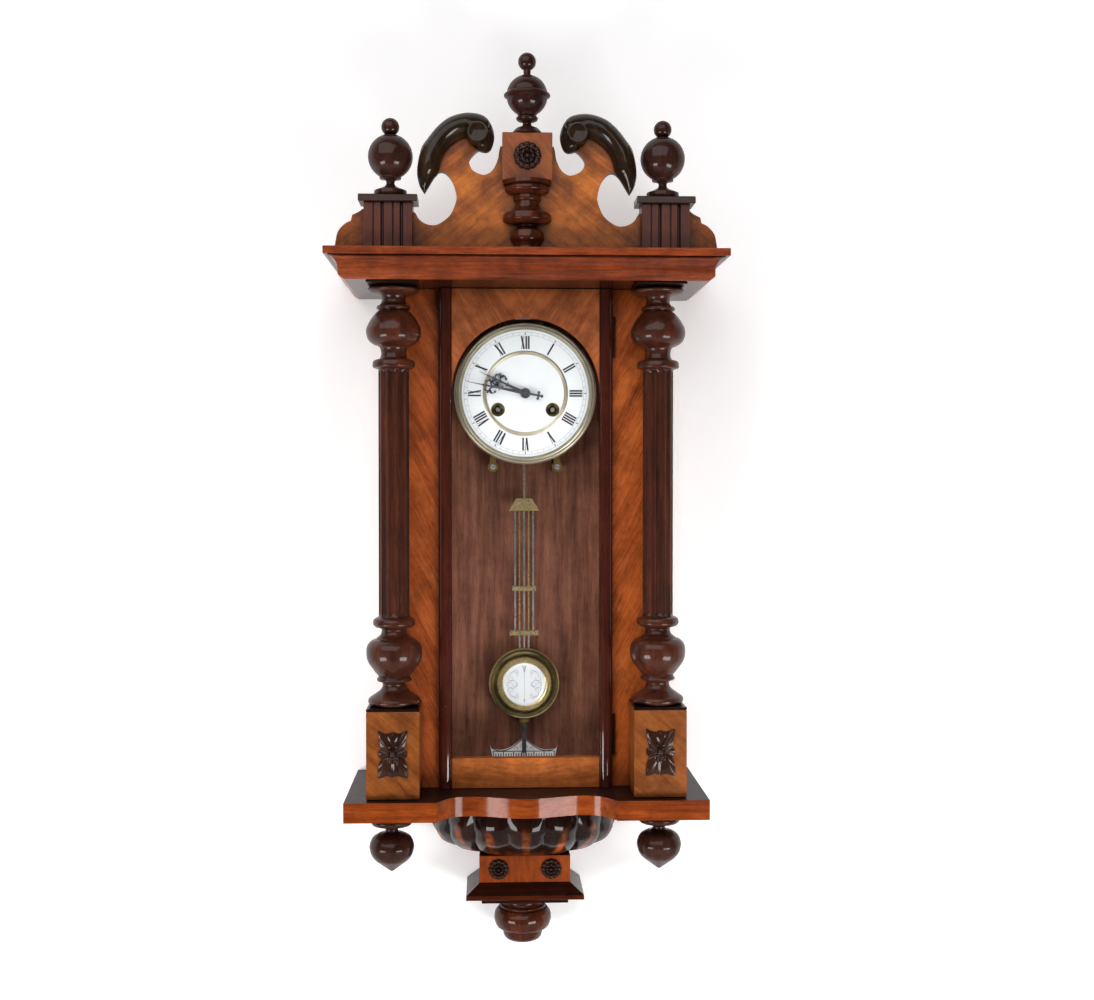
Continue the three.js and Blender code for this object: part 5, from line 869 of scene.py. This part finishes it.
lofted("gadrooned_half_bowl", rings, bowl_walnut, "dark_walnut", ["gadrooned_bowl"], smooth=24)

# Frieze box with two rosettes, the flared moulding under it and its underplate, then the bottom
# finial and the two acorn drops, which are turned and pegged up into the plates.
# The box is bright orange-brown, the flared moulding and its fillet dark red-brown.
frieze_veneer = timber("bright_walnut_frieze", "#b2541f", "#914014", "#55230c", grime_and_shade=0.7, reach=9,
                       figure=0.7, tilt=4)
post("frieze_block", [(50.2, 61.7, -541.55), (50.5, 62, -541.2), (50.5, 62, -512), (50.2, 61.7, -511.65)],
     frieze_veneer, "veneer", ["frieze_box"])
for side_name, side in (("left", -1), ("right", 1)):
    rosette(f"{side_name}_frieze_rosette", 11.3, 4.5, (side * 29.2, -526.6), -62)
bracket_walnut = timber("dark_flared_moulding", "#451b0e", "#2a110a", "#150806", grain=(1, 0, 0), grime_and_shade=0.6,
                        reach=7, figure=0.7, rough=0.35, coat=0.5)
flare_rows = [(47.4, 65.4, -563.9), (48, 66, -563.4), (48, 66, -557.5), (48, 66, -557.3),
              (64.6, 76.6, -557.3), (65, 77, -556.9), (65, 77, -552.4), (64.3, 76.3, -551.6),
              (51.3, 62.8, -542.3), (50.4, 61.9, -541.9)]
flare = post("flared_bracket_moulding", flare_rows, bracket_walnut, "dark_walnut", ["bracket_moulding"])
bracket_fillet = timber("red_brown_bracket_fillet", "#632c13", "#491c0b", "#220b05", grain=(1, 0, 0),
                        grime_and_shade=0.6, reach=4, figure=0.7, rough=0.35, coat=0.4)
flare.data.materials.append(bracket_fillet)
fillet_low = -557
for face in flare.data.polygons:
    if face.normal.y < -0.95 and face.center.z > fillet_low * mm:
        face.material_index = 1
finial_shares = [(.25, 0), (.4, .012), (.557, .05), (.64, .1), (.68, .17), (.7, .25), (.71, .275, 1),
                 (.8, .3), (.9, .34), (.97, .44), (1, .556), (.97, .675), (.86, .775, 1), (.79, .785),
                 (.76, .82), (.78, .85, 1), (.72, .87), (.68, .93), (.7, 1)]
turned("bottom_turned_finial", along_profile(finial_shares, 32, 48, -612.2), (-2, -40), red_turned,
       "dark_walnut", ["bottom_finial"])
drop_shares = [(0, 0), (.1, .02), (.27, .064), (.54, .136), (.765, .2), (.92, .28), (.985, .361), (1, .425),
               (.935, .506), (.815, .57), (.585, .618, 1), (.4, .63), (.3, .65), (.28, .68), (.3, .713, 1),
               (.38, .727), (.67, .746, 1), (.86, .761), (.94, .8), (.95, .83), (.9, .86, 1), (.8, .88),
               (.74, .92), (.75, 1)]
for side_name, side in (("left", -1), ("right", 1)):
    turned(f"{side_name}_acorn_drop", along_profile(drop_shares, 23.9, 67, -515.3), (side * 144.3, -105),
           finial_walnut, "dark_walnut", [f"{side_name}_drop"])

# Door: a frame faced with book-matched veneer above the arch and on the bottom rail. Its stiles
# are covered by dark mouldings, each a wide bead between fillets with a thin bead by the glass.
# The veneers are orange-brown and paler on the rail, the mouldings dark red with a mirror polish.
spandrel_veneer = timber("walnut_spandrel_veneer", "#c27040", "#9f5730", "#62301c", tilt=-34, seam=0,
                         grime_and_shade=0.8, reach=20, figure=0.8, mottle=0.4)
rail_veneer = timber("pale_walnut_rail_veneer", "#d98242", "#b8652f", "#7f4120", grain=(1, 0, 0), tilt=8,
                     seam=1.5, grime_and_shade=0.6, reach=12, figure=0.9, mottle=0.4)
door_moulding = timber("dark_red_door_moulding", "#61291b", "#401a12", "#210d09", grime_and_shade=0.8, reach=4,
                       figure=0.6, rough=0.35, coat=0.8, shine=0.05)
door_half, glass_half, door_low, rail_high, door_high = 93.5, 79.5, -426.8, -394.5, 111
door_front, door_back, arch_steps = -103, -92.2, 48
arch = [(glass_half * math.cos(math.pi * i / arch_steps), glass_half * math.sin(math.pi * i / arch_steps))
        for i in range(arch_steps + 1)]
upper = [(door_half, rail_high), (door_half, door_high), (-door_half, door_high), (-door_half, rail_high),
         (-glass_half, rail_high), *reversed(arch), (glass_half, rail_high)]
spandrel = add_piece("door_veneered_frame", *plate_of(upper, door_front, door_back), spandrel_veneer,
                     "door", "veneer", ["door_frame"], smooth=30)
stain_edge(spandrel, door_moulding)
rail = [(-door_half, door_low), (door_half, door_low), (door_half, rail_high), (-door_half, rail_high)]
add_piece("door_bottom_rail", *plate_of(rail, door_front, door_back), rail_veneer, "door", "veneer",
          bevel=0.4)
section = [(79.5, -102.9), (79.5, -103.5), (80.4, -103.5), (80.7, -104.8), (81.8, -106.4), (83.4, -107.4),
           (85.2, -107.9), (87, -108), (88.8, -107.7), (90.4, -106.9), (91.8, -105.6), (92.6, -104),
           (92.8, -103.3), (93.6, -103.3), (93.7, -102.9), (93.7, -92.3)]
for side_name, side in (("left", -1), ("right", 1)):
    rings = [[(side * a, b, z) for a, b in section + section[:1]] for z in (door_low, door_high)]
    lofted(f"door_{side_name}_moulding", rings, door_moulding, "dark_walnut", body="door", smooth=40)


# Metal: brass and steel, polished long ago and gone dull in blotches and brown in the hollows.
# Bare metal keeps its own IOR.
grit_mm = 1.11


def aged_metal(name, colour, stain, rough, reach=3, blotch_mm=16.7):
    """Bare metal with tarnish of another colour, in blotches and where it is shut in."""
    material, tree, output = new_material(name)
    place = add_node(tree, "ShaderNodeTexCoord").outputs["Object"]
    blotch = add_node(tree, "ShaderNodeTexNoise", {"Scale": 1000 / blotch_mm, "Detail": 5,
                                                   "Roughness": 0.65},
                      Vector=place)
    fine = add_node(tree, "ShaderNodeTexNoise", {"Scale": 1000 / grit_mm, "Detail": 3}, Vector=place)
    hollow = add_node(tree, "ShaderNodeAmbientOcclusion", {"samples": 6, "Distance": reach * mm})
    dull = add_node(tree, "ShaderNodeMapRange", {"From Min": 0.35, "From Max": 0.7, "To Max": 0.7},
                    Value=blotch.outputs[0])
    buried = add_node(tree, "ShaderNodeMapRange", {"From Min": 0.9, "From Max": 0.3},
                      Value=hollow.outputs["AO"])
    either = add_node(tree, "ShaderNodeMath", {"operation": "MAXIMUM"}, n0=dull.outputs[0],
                      n1=buried.outputs[0])
    colours = add_node(tree, "ShaderNodeMix", {"data_type": "RGBA", 6: linear(colour), 7: linear(stain)},
                       n0=either.outputs[0])
    gloss = add_node(tree, "ShaderNodeMapRange", {"From Min": 0.3, "From Max": 0.7, "To Min": rough - 0.06,
                     "To Max": rough + 0.12}, Value=fine.outputs[0])
    relief = add_node(tree, "ShaderNodeBump", {"Strength": 0.05, "Distance": 0.1 * mm},
                      Height=fine.outputs[0])
    metal = add_node(tree, "ShaderNodeBsdfPrincipled", {"Metallic": 1.0}, Base_Color=colours.outputs[2],
                     Roughness=gloss.outputs[0], Normal=relief.outputs[0])
    tree.links.new(metal.outputs[0], output.inputs["Surface"])
    return material


# Brown-gold brass on the movement, a greyer spun brass on the dial, a paler lacquered brass on the
# pendulum, and a brass gone brown on the door. Steel is bright, or blued almost black.
aged_brass = aged_metal("aged_cast_brass", "#c9a85c", "#6b5a33", 0.3)
dull_bezel_brass = aged_metal("dull_spun_brass", "#c2bba6", "#968e79", 0.4, blotch_mm=40)
bright_brass = aged_metal("lacquered_brass", "#d0bb88", "#a8935f", 0.28, reach=1, blotch_mm=50)
clock_steel = aged_metal("polished_steel", "#c4c4c2", "#77736c", 0.28)
blued_steel = aged_metal("dark_blued_steel", "#35353b", "#1e1c20", 0.38)
tarnished_brass = aged_metal("tarnished_door_brass", "#5f3a22", "#3a2013", 0.5)
dress(["upper_hinge_leaf", "lower_hinge_leaf", "upper_door_leaf", "lower_door_leaf", "door_latch"],
      tarnished_brass)
dark_plate_brass = aged_metal("dark_brown_plate_brass", "#8d7440", "#453820", 0.36)
dress(["front_plate"], dark_plate_brass)
dress(["back_plate", "time_barrel", "strike_barrel", "third_wheel", "escape_wheel",
       "minute_wheel", "hour_wheel", "strike_wheel", "centre_wheel"], aged_brass)
dress(["movement_bracket"], blued_steel)
dress(["hanging_plate", "anchor", "hammer", "time_winding_arbor", "strike_winding_arbor", "left_foot_screw",
       "right_foot_screw"], clock_steel)


# Dial: white enamel fired on copper in two pieces, a chapter ring and a centre, with a spun brass
# ring between them and brass cups round the winding holes. Figures and minute track are fired on.
haze_mm = 25


def enamel(name, colour, rough=0.16):
    """Fired enamel: an even colour with a faint haze under a hard glassy skin."""
    material, tree, output = new_material(name)
    place = add_node(tree, "ShaderNodeTexCoord").outputs["Object"]
    haze = add_node(tree, "ShaderNodeTexNoise", {"Scale": 1000 / haze_mm, "Detail": 3}, Vector=place)
    tone = add_node(tree, "ShaderNodeMapRange", {"To Min": 0.93, "To Max": 1.0}, Value=haze.outputs[0])
    colours = add_node(tree, "ShaderNodeMix", {"data_type": "RGBA", "blend_type": "MULTIPLY", 0: 1.0,
                       6: linear(colour)}, n7=tone.outputs[0])
    ripple = add_node(tree, "ShaderNodeBump", {"Strength": 0.05, "Distance": 0.2 * mm},
                      Height=haze.outputs[0])
    glass = add_node(tree, "ShaderNodeBsdfPrincipled", {"IOR": 1.52, "Roughness": rough, "Coat Weight": 0.6,
                     "Coat Roughness": 0.06}, Base_Color=colours.outputs[2], Normal=ripple.outputs[0])
    tree.links.new(glass.outputs[0], output.inputs["Surface"])
    return material


white_enamel = enamel("white_fired_enamel", "#dfe3e5")
black_enamel = enamel("black_fired_enamel", "#26262c", 0.3)
grey_enamel = enamel("pale_grey_fired_enamel", "#8d92a2", 0.3)
chapter = [(46.3, -83.4), (46.6, -84), (52, -84.15), (60, -84.1), (66, -84), (69.1, -83.9), (69.4, -83.5),
           (69.4, -82.6), (46.3, -82.6)]
turned("dial_chapter_ring", chapter + chapter[:1], (0, 0), white_enamel, "enamel", ["dial_plate"],
       along="Y", sides=128, smooth=40)


def circle(radius, x=0.0, z=0.0, count=48):
    """Points of a circle in the front plane."""
    return [(x + radius * math.cos(2 * math.pi * i / count), z + radius * math.sin(2 * math.pi * i / count))
            for i in range(count)]


winding_x, winding_z = 29.7, -17.8
arbor_holes = [circle(6.6, side * winding_x, winding_z, 32) for side in (-1, 1)]
add_piece("dial_centre_disc", *plate_of(circle(42.3, count=120), -84, -82.6, holes=arbor_holes),
          white_enamel, "case", "enamel", smooth=40)
inner_ring = [(42.2, -82.6), (42.2, -84.1), (42.7, -84.5), (43.3, -84.3), (44, -84.75), (45, -84.8),
              (45.8, -84.5), (46.6, -84), (46.6, -82.6), (42.2, -82.6)]
turned("dial_inner_ring", inner_ring, (0, 0), dull_bezel_brass, "brass", along="Y", sides=128, smooth=40)
cup = [(2.9, -79.9), (3.3, -80.3), (3.6, -81.2), (4.6, -81.9), (4.8, -82.7), (5.7, -83.2), (6, -84),
       (6.5, -84.6), (7, -84.8), (7.4, -84.5), (7.5, -84.0), (6.5, -83.9), (6.4, -82.4), (4.9, -81.2),
       (3.9, -79.7), (2.9, -79.7)]
cup_brass = aged_metal("dark_brown_winding_cup", "#6e6142", "#3b3322", 0.42, blotch_mm=5)
for side_name, side in (("left", -1), ("right", 1)):
    turned(f"{side_name}_winding_cup", cup + cup[:1], (side * winding_x, winding_z), cup_brass, "brass",
           along="Y", sides=40, smooth=40)


def strip(path, widths, front, back):
    """Points and faces of a flat strip along a line in the front plane, as wide as it says."""
    points, faces = [], []
    for i, (x, z) in enumerate(path):
        before, after = path[max(i - 1, 0)], path[min(i + 1, len(path) - 1)]
        dx, dz = after[0] - before[0], after[1] - before[1]
        length = math.hypot(dx, dz) or 1.0
        nx, nz = -dz / length * widths[i] / 2, dx / length * widths[i] / 2
        points += [(x + nx, front, z + nz), (x - nx, front, z - nz), (x - nx, back, z - nz),
                   (x + nx, back, z + nz)]
    for i in range(len(path) - 1):
        a = 4 * i
        faces += [(a + k, a + (k + 1) % 4, a + 4 + (k + 1) % 4, a + 4 + k) for k in range(4)]
    faces += [(0, 1, 2, 3), tuple(4 * (len(path) - 1) + k for k in range(4))]
    return points, faces


def together(parts):
    """Several lots of points and faces as one."""
    points, faces = [], []
    for some_points, some_faces in parts:
        faces += [tuple(i + len(points) for i in face) for face in some_faces]
        points += some_points
    return points, faces


ink_front, ink_back = -84.22, -83.9
numeral_low, numeral_high = 48.4, 62.0
track_in, track_out = 63.4, 66.6
# Each letter is drawn 1 high, from strokes with two ends and a thickness, and from serifs with two
# ends and a level. The thin strokes are a little bolder than real ones, so that they show.
numerals = ("XII", "I", "II", "III", "IIII", "V", "VI", "VII", "VIII", "IX", "X", "XI")
letter_width = {"I": 2.75, "V": 4.9, "X": 4.9}
strokes = {"I": [((1.37, 0), (1.37, 1), 1.85)],
           "V": [((1.1, 1), (2.5, 0), 1.95), ((3.9, 1), (2.6, 0), 0.6)],
           "X": [((1.2, 1), (3.7, 0), 1.95), ((3.8, 1), (1.1, 0), 0.5)]}
serifs = {"I": [(0.25, 2.5, 0), (0.25, 2.5, 1)], "V": [(0.1, 2.1, 1), (3.3, 4.5, 1)],
          "X": [(0.2, 2.2, 1), (3.2, 4.4, 1), (0.5, 1.7, 0), (2.7, 4.7, 0)]}
figures = []
for hour, numeral in enumerate(numerals):
    turn = math.radians(30 * hour)
    width = sum(letter_width[letter] for letter in numeral)
    start = -width / 2
    for letter in numeral:
        lines = [((start + a[0], a[1]), (start + b[0], b[1]), thick) for a, b, thick in strokes[letter]]
        lines += [((start + a, level), (start + b, level), 0.4) for a, b, level in serifs[letter]]
        for a, b, thick in lines:
            ends = []
            for across, share in (a, b):
                out = numeral_low + (numeral_high - numeral_low) * share
                ends.append((across * math.cos(turn) + out * math.sin(turn),
                             -across * math.sin(turn) + out * math.cos(turn)))
            figures.append(strip(ends, [thick, thick], ink_front, ink_back))
        start += letter_width[letter]
for hour in range(12):
    turn = math.radians(30 * hour)
    ends = [(out * math.sin(turn), out * math.cos(turn)) for out in (63.6, 64.9, 66.6)]
    figures.append(strip(ends, [0.3, 1.1, 0.3], ink_front, ink_back))
add_piece("dial_figures", *together(figures), black_enamel, "case", "black_steel")
track = []
for radius in (track_in, track_out):
    path = circle(radius, count=120) + circle(radius, count=120)[:1]
    track.append(strip(path, [0.3] * len(path), ink_front + 0.02, ink_back))
for minute in range(60):
    turn = math.radians(6 * minute)
    ends = [(out * math.sin(turn), out * math.cos(turn)) for out in (track_in, track_out)]
    track.append(strip(ends, [0.4, 0.4], ink_front + 0.01, ink_back))
add_piece("dial_minute_track", *together(track), grey_enamel, "case", "enamel")

# Bezel: a spun brass ring of several steps round the dial.
bezel = [(69.6, -84.4), (70, -85.6), (70.8, -86.2), (71.2, -87.6), (72, -88.6), (72.9, -88.3),
         (73.3, -87.4), (73.8, -87.6), (74.2, -89.2), (74.9, -90), (75.8, -89.7), (76.6, -88.4),
         (77.1, -86.6), (77.3, -84.8), (77.3, -81.6), (69.6, -81.6)]
turned("stepped_bezel", bezel + bezel[:1], (0, 0), dull_bezel_brass, "brass", ["dial_bezel"], along="Y",
       sides=144, smooth=40)


# Hands: pierced serpentine hands, sawn from thin steel and blued almost black.
def curl(middle, radius, first, last, wide, thin, steps=20):
    """Centre line and widths of a curl that thins toward both ends."""
    path, widths = [], []
    for i in range(steps + 1):
        share = i / steps
        angle = math.radians(first + (last - first) * share)
        path.append((middle[0] + radius * math.cos(angle), middle[1] + radius * math.sin(angle)))
        widths.append(thin + (wide - thin) * math.sin(math.pi * share))
    return path, widths


# The steel is drawn mid-grey, not blued almost black: a painted reflection of the door glass laid over it,
# so that the hands catch the light along their length.
blued_steel_with_painted_reflection = aged_metal("blued_steel_painted_glass_reflection", "#6a6a72", "#47474e", 0.42)


def hand(name, length, rings_at, hub, front, degrees, body, replaces, tail):
    """A flat hand with a pierced knot of curls, turned by degrees from twelve o'clock."""
    back = front + 0.9
    parts = []
    stem = [(0, -2), (0, rings_at - 10), (0, rings_at - 7), (0, rings_at + 7), (0, rings_at + 10),
            (0, length)]
    parts.append(strip(stem, [4.2, 2.5, 1.9, 1.9, 1.3, 0.35], front, back))
    parts.append(strip([(-3.1, rings_at - 9.6), (0, rings_at - 9.2), (3.1, rings_at - 9.6)],
                       [0.5, 2.2, 0.5], front + 0.02, back - 0.02))
    parts.append(strip([(0, rings_at + 6.2), (0, rings_at + 8), (0, rings_at + 9.6)], [0.6, 3.6, 0.6],
                       front + 0.03, back - 0.03))
    for side in (-1, 1):
        for middle, radius, first, last, wide in (
            ((3.9, -2.4), 3.1, 200, -70, 2.1), ((3.0, 3.6), 2.6, 190, -60, 1.9),
            ((6.2, 0.3), 1.6, 60, 330, 1.5),
        ):
            place = (middle[0], rings_at + middle[1])
            path, widths = curl(place, radius, first, last, wide, 0.7)
            parts.append(strip([(side * x, z) for x, z in path], widths, front + 0.01, back - 0.01))
        for dot, size in (((5.0, -5.4), 1.5), ((7.0, 2.4), 1.2), ((4.4, 5.9), 1.3)):
            outline = [(side * x, z) for x, z in circle(size, dot[0], rings_at + dot[1], 12)]
            parts.append(plate_of(outline, front + 0.04, back - 0.04))
    parts.append(plate_of(circle(hub), front - 0.05, back + 0.02))
    if tail:
        parts.append(strip([(0, 0), (0, -tail)], [3.2, 1.9], front, back))
        parts.append(strip([(-3.6, -tail + 4.2), (0, -tail + 4), (3.6, -tail + 4.2)], [1.2, 3.4, 1.2],
                           front + 0.02, back))
        for x, z, size in ((-3.4, -tail + 4.2, 1.6), (3.4, -tail + 4.2, 1.6), (0, -tail + 0.3, 1.8)):
            parts.append(plate_of(circle(size, x, z, 12), front + 0.03, back - 0.03))
    points, faces = together(parts)
    turn = math.radians(degrees)
    points = [(x * math.cos(turn) + z * math.sin(turn), y, -x * math.sin(turn) + z * math.cos(turn))
              for x, y, z in points]
    add_piece(name, points, faces, blued_steel_with_painted_reflection, body, "black_steel", replaces)


hand("pierced_hour_hand", 55.2, 31, 5.6, -86.9, -64.7, "hour_pipe", ["hour_hand"], 0)
hand("pierced_minute_hand", 64.8, 38, 4.6, -90.4, -79, "minute_arbor", ["minute_hand"], 18.4)
collet = [(0, -92.6), (2.2, -92.5), (2.9, -91.9), (3.2, -91.2), (3.2, -90.3), (0, -90.3)]
# The collet takes the same grey steel, a painted reflection of the door glass.
turned("hand_collet", collet, (0, 0), blued_steel_with_painted_reflection, "black_steel", body="minute_arbor", along="Y", sides=32)


# Pendulum: a gridiron of steel and brass rods between brass bars, hung on a spring. The bob is a
# lens of pressed brass with a blackened hollow and an enamel disc, held on a flat steel rod.
pendulum_y = -30.0


def rod(name, radius, x, low, high, material, slot):
    """An upright round rod of the pendulum with chamfered ends."""
    profile = [(0, low), (radius * 0.8, low), (radius, low + 0.2 * radius), (radius, high - 0.2 * radius),
               (radius * 0.8, high), (0, high)]
    turned(name, profile, (x, pendulum_y), material, slot, body="pendulum", sides=16)


def bar(name, outline, front, back, material, slot, body, replaces=(), bevel=0.25):
    """A flat metal bar with softened edges, from its outline seen from the front."""
    add_piece(name, *plate_of(outline, front, back), material, body, slot, replaces, bevel=bevel)


bar_front, bar_back, bob_z = -32.5, -27.5, -324.0
bar("suspension_spring", [(-0.3, 38), (0.3, 38), (0.3, 57), (-0.3, 57)], bar_front, bar_back, clock_steel,
    "steel", "pendulum", ["pendulum_rod"], bevel=0)
rod("pendulum_upper_rod", 1.2, 0, -117, 40.2, clock_steel, "steel")
crown = [(-12.8, -122.6), (12.8, -122.6), (9, -115.4), (-9, -115.4)]
bar("gridiron_crown", crown, bar_front, bar_back, bright_brass, "brass", "pendulum")
bar("gridiron_top_bar", [(-16.6, -129.2), (16.6, -129.2), (13.6, -122.7), (-13.6, -122.7)], -33.2, -26.8,
    bright_brass, "brass", "pendulum")
bar("gridiron_middle_bar", [(-13.3, -219.7), (13.3, -219.7), (13.3, -214.3), (-13.3, -214.3)], bar_front,
    bar_back, bright_brass, "brass", "pendulum")
bar("gridiron_lower_bar", [(-16.2, -269.9), (16.2, -269.9), (16.2, -264.5), (-16.2, -264.5)], bar_front,
    bar_back, bright_brass, "brass", "pendulum")
rod_gap = 5.1
steel_rod, brass_rod = (1.1, clock_steel, "steel"), (0.85, bright_brass, "brass")
for number, kind in enumerate((steel_rod, brass_rod, steel_rod, brass_rod, steel_rod)):
    radius, metal, slot = kind
    rod(f"gridiron_rod_{number + 1}", radius, (number - 2) * rod_gap, -265, -126.5, metal, slot)
for number in range(3):
    rod(f"bob_rod_{number + 1}", 1.1, (number - 1) * rod_gap, bob_z, -269.5, clock_steel, "steel")
rivets = [(x, -119.4) for x in (-6, 4)] + [(x, -126.4) for x in (-12, 10.2)]
rivets += [(x, z) for x in (-10.2, 0, 10.2) for z in (-217, -267.2)]
for number, (x, z) in enumerate(rivets):
    head = [(0, -33.1), (0.8, -33), (1.2, -32.7), (1.3, -32.3), (0, -32.3)]
    turned(f"gridiron_rivet_{number + 1}", head, (x, z), clock_steel, "steel", body="pendulum", along="Y",
           sides=14, smooth=50)
flat_rod = [(-2.4, -403), (2.4, -403), (2.4, -366), (-2.4, -366)]
# The flat rod takes the same grey steel, a painted reflection of the door glass.
bar("pendulum_flat_rod", flat_rod, -30.8, -29.2, blued_steel_with_painted_reflection, "steel", "pendulum")
rod("pendulum_threaded_rod", 1.8, 0, -370, bob_z, clock_steel, "steel")

# The hollow of the bob is blackened and gives its rim a dark ground.
dark_hollow = aged_metal("blackened_brass_hollow", "#7a7052", "#4c4634", 0.34)
rim = [(0, -25), (30, -24.2), (36, -25.5), (39.2, -29), (39.7, -31), (39.7, -33.2), (39.4, -34.2),
       (38.8, -34.6), (38.2, -34.2), (37.9, -33), (36, -30.5), (30, -30)]
turned("bob_brass_rim", rim, (0, bob_z), bright_brass, "brass", ["pendulum_bob"], "pendulum", 96, "Y",
       smooth=40)
hollow = [(38.1, -33.6), (37.4, -32.6), (35.6, -32), (33.4, -33), (31.8, -35.4), (30.8, -38),
          (30.4, -38.2), (30, -31), (37, -31), (38.1, -33.6)]
turned("bob_dark_hollow", hollow, (0, bob_z), dark_hollow, "brass", (), "pendulum", 96, "Y", smooth=40)
raised = [(30.9, -37.4), (30.6, -39), (29.6, -40), (27.4, -40.1), (25.6, -40), (24.6, -40.3), (24, -40),
          (23.8, -39), (24, -33.5), (30.5, -33.5)]
turned("bob_raised_ring", raised, (0, bob_z), bright_brass, "brass", (), "pendulum", 96, "Y", smooth=40)
disc = [(0, -40.8), (12, -40.75), (20, -40.5), (23.4, -40), (23.9, -39.5), (23.9, -38.5), (0, -38.5)]
turned("bob_enamel_disc", disc, (0, bob_z), white_enamel, "enamel", (), "pendulum", 72, "Y", smooth=40)
marks = [strip([(0, bob_z + 20.5), (0, bob_z - 17)], [0.3, 0.3], -40.95, -40.3),
         strip([(0, bob_z - 17), (0, bob_z - 21)], [2.0, 0.2], -40.95, -40.0),
         strip([(-1.9, bob_z + 21), (0, bob_z + 13)], [0.9, 0.4], -40.9, -40.3),
         strip([(1.9, bob_z + 21), (0, bob_z + 13)], [0.9, 0.4], -40.9, -40.3)]
add_piece("bob_centre_line", *together(marks), grey_enamel, "pendulum", "enamel")
sprigs = []
for side in (-1, 1):
    for x, z, radius, first, last in (
        (12, 10, 4.2, 200, -40), (15.5, 6.5, 2.8, 140, 400), (9.5, 13.5, 2.4, 250, 20),
        (12, -10, 4.2, -200, 40), (15.5, -6.5, 2.8, -140, -400), (9.5, -13.5, 2.4, -250, -20),
        (13.5, 0, 4.6, 60, 300), (10.2, 0, 2.9, 120, 400), (17.2, 0, 2.2, -90, 180),
    ):
        path, widths = curl((x, bob_z + z), radius, first, last, 0.55, 0.25, 16)
        sprigs.append(strip([(side * px, pz) for px, pz in path], widths, -40.85, -39.6))
add_piece("bob_sprig_ornament", *together(sprigs), grey_enamel, "pendulum", "enamel")


def knurl(angle, level):
    """Thirty small ridges round the nut."""
    return 1 - 0.05 * (0.5 + 0.5 * math.cos(30 * angle))


nut = [(1.9, -369.1), (4.4, -369.1), (5.2, -368.2), (5.2, -365), (4.4, -364.1), (1.9, -364.1)]
turned("knurled_rating_nut", nut, (0, pendulum_y), dark_plate_brass, "brass", ["rating_nut"], "nut", 120,
       carve=knurl)

# Beat scale: a shaped enamel plaque on the back board, under the tip of the pendulum, with a line
# of degrees, a small arch, curls and a border fired on in black.
scale_half, scale_low, scale_high, scale_face = 38.6, -412.0, -390.0, -14.3
mark_back = -14.0
scale_shares = [(.12, 0, 1), (.92, 0, 1), (1, .62, 1), (.86, .46), (.68, .4), (.5, .46), (.32, .62),
                (.14, .86), (.05, 1)]
scale_right = smooth_through([(s[0] * scale_half, scale_low + s[1] * (scale_high - scale_low), *s[2:])
                              for s in scale_shares], 5)
scale_outline = scale_right + [(0, scale_high + 0.4)] + [(-x, z) for x, z in reversed(scale_right)]
scale_outline = [(x, min(z, scale_high)) for x, z in scale_outline]
# Painted light: the plaque's enamel is pure white, brighter than the dial's, to lift the shade it lies in
# low in the case.
brightened_scale_enamel = enamel("scale_enamel_brightened_against_shade", "#ffffff")
add_piece("enamel_beat_scale", *plate_of(scale_outline, scale_face, -12.4), brightened_scale_enamel, "case", "enamel",
          ["beat_scale"], bevel=0.3)
lines = []
for i in range(-12, 13):
    x = i * 2.9
    tall = 5.4 if i % 4 == 0 else 3.6
    lines.append(strip([(x, -410.6), (x, -410.6 + tall)], [1.0, 1.0], -14.6, mark_back))
lines.append(strip([(-35.5, -404.6), (35.5, -404.6)], [0.8, 0.8], -14.62, mark_back))
rim = [(x * 0.985, z - 0.9) for x, z in scale_outline if z > -410]
lines.append(strip(rim, [1.1] * len(rim), -14.64, mark_back))
lines.append(strip([(-35, -410.8), (35, -410.8)], [0.5, 0.5], -14.42, mark_back))
for side in (-1, 1):
    lines.append(strip([(side * 2.6, -411.5), (side * 2.6, -407.5), (side * 1.7, -405.6), (0, -404.8)],
                       [1.3] * 4, -14.66, mark_back))
    path, widths = curl((side * 9, -401.8), 2, 200, -60, 0.5, 0.25, 12)
    lines.append(strip(path, widths, -14.42, mark_back))
    lines.append(strip([(0, -393.2), (side * 4.4, -400.5)], [0.3, 0.5], -14.42, mark_back))
add_piece("beat_scale_marks", *together(lines), black_enamel, "case", "black_steel")

# Gong: a flat coil of blued steel wire, riveted into an iron block on the back board.
block_x, block_z, coil_y, coil_turns, turn_steps = 35, -28, -18, 3, 48
coil_radius, coil_pitch, wire_radius, wire_sides = 44.8, 4.8, 1.3, 10
end_angle = math.atan2(block_z, block_x)
around_wire = [2 * math.pi * k / wire_sides for k in range(wire_sides)]
rings = []
for i in range(coil_turns * turn_steps + 1):
    turn = i / turn_steps
    radius, angle = coil_radius - coil_pitch * turn, end_angle - turn * 2 * math.pi
    rings.append([((radius + wire_radius * math.cos(a)) * math.cos(angle),
                   coil_y + wire_radius * math.sin(a),
                   (radius + wire_radius * math.cos(a)) * math.sin(angle)) for a in around_wire])
lofted("gong_wire", rings, blued_steel, "steel", ["gong"], smooth=60)
block = [(30.5, -32.5), (39.5, -32.5), (39.5, -23.5), (30.5, -23.5)]
bar("gong_block", block, -28, -12.4, blued_steel, "steel", "case", bevel=0.5)

# Floor: pale grey boards painted matt, far below the clock and out of the photograph.
floor_paint, tree, output = new_material("matt_pale_floor_paint")
floor_coat = add_node(tree, "ShaderNodeBsdfDiffuse", {"Color": linear("#c3c0bc")})
tree.links.new(floor_coat.outputs[0], output.inputs["Surface"])
floor_front, floor_z = -1300, -1100
backdrop("floor", [(-room_half, floor_front, floor_z), (room_half, floor_front, floor_z),
                   (room_half, wall_y, floor_z), (-room_half, wall_y, floor_z)], floor_paint, (0, 0, 1))
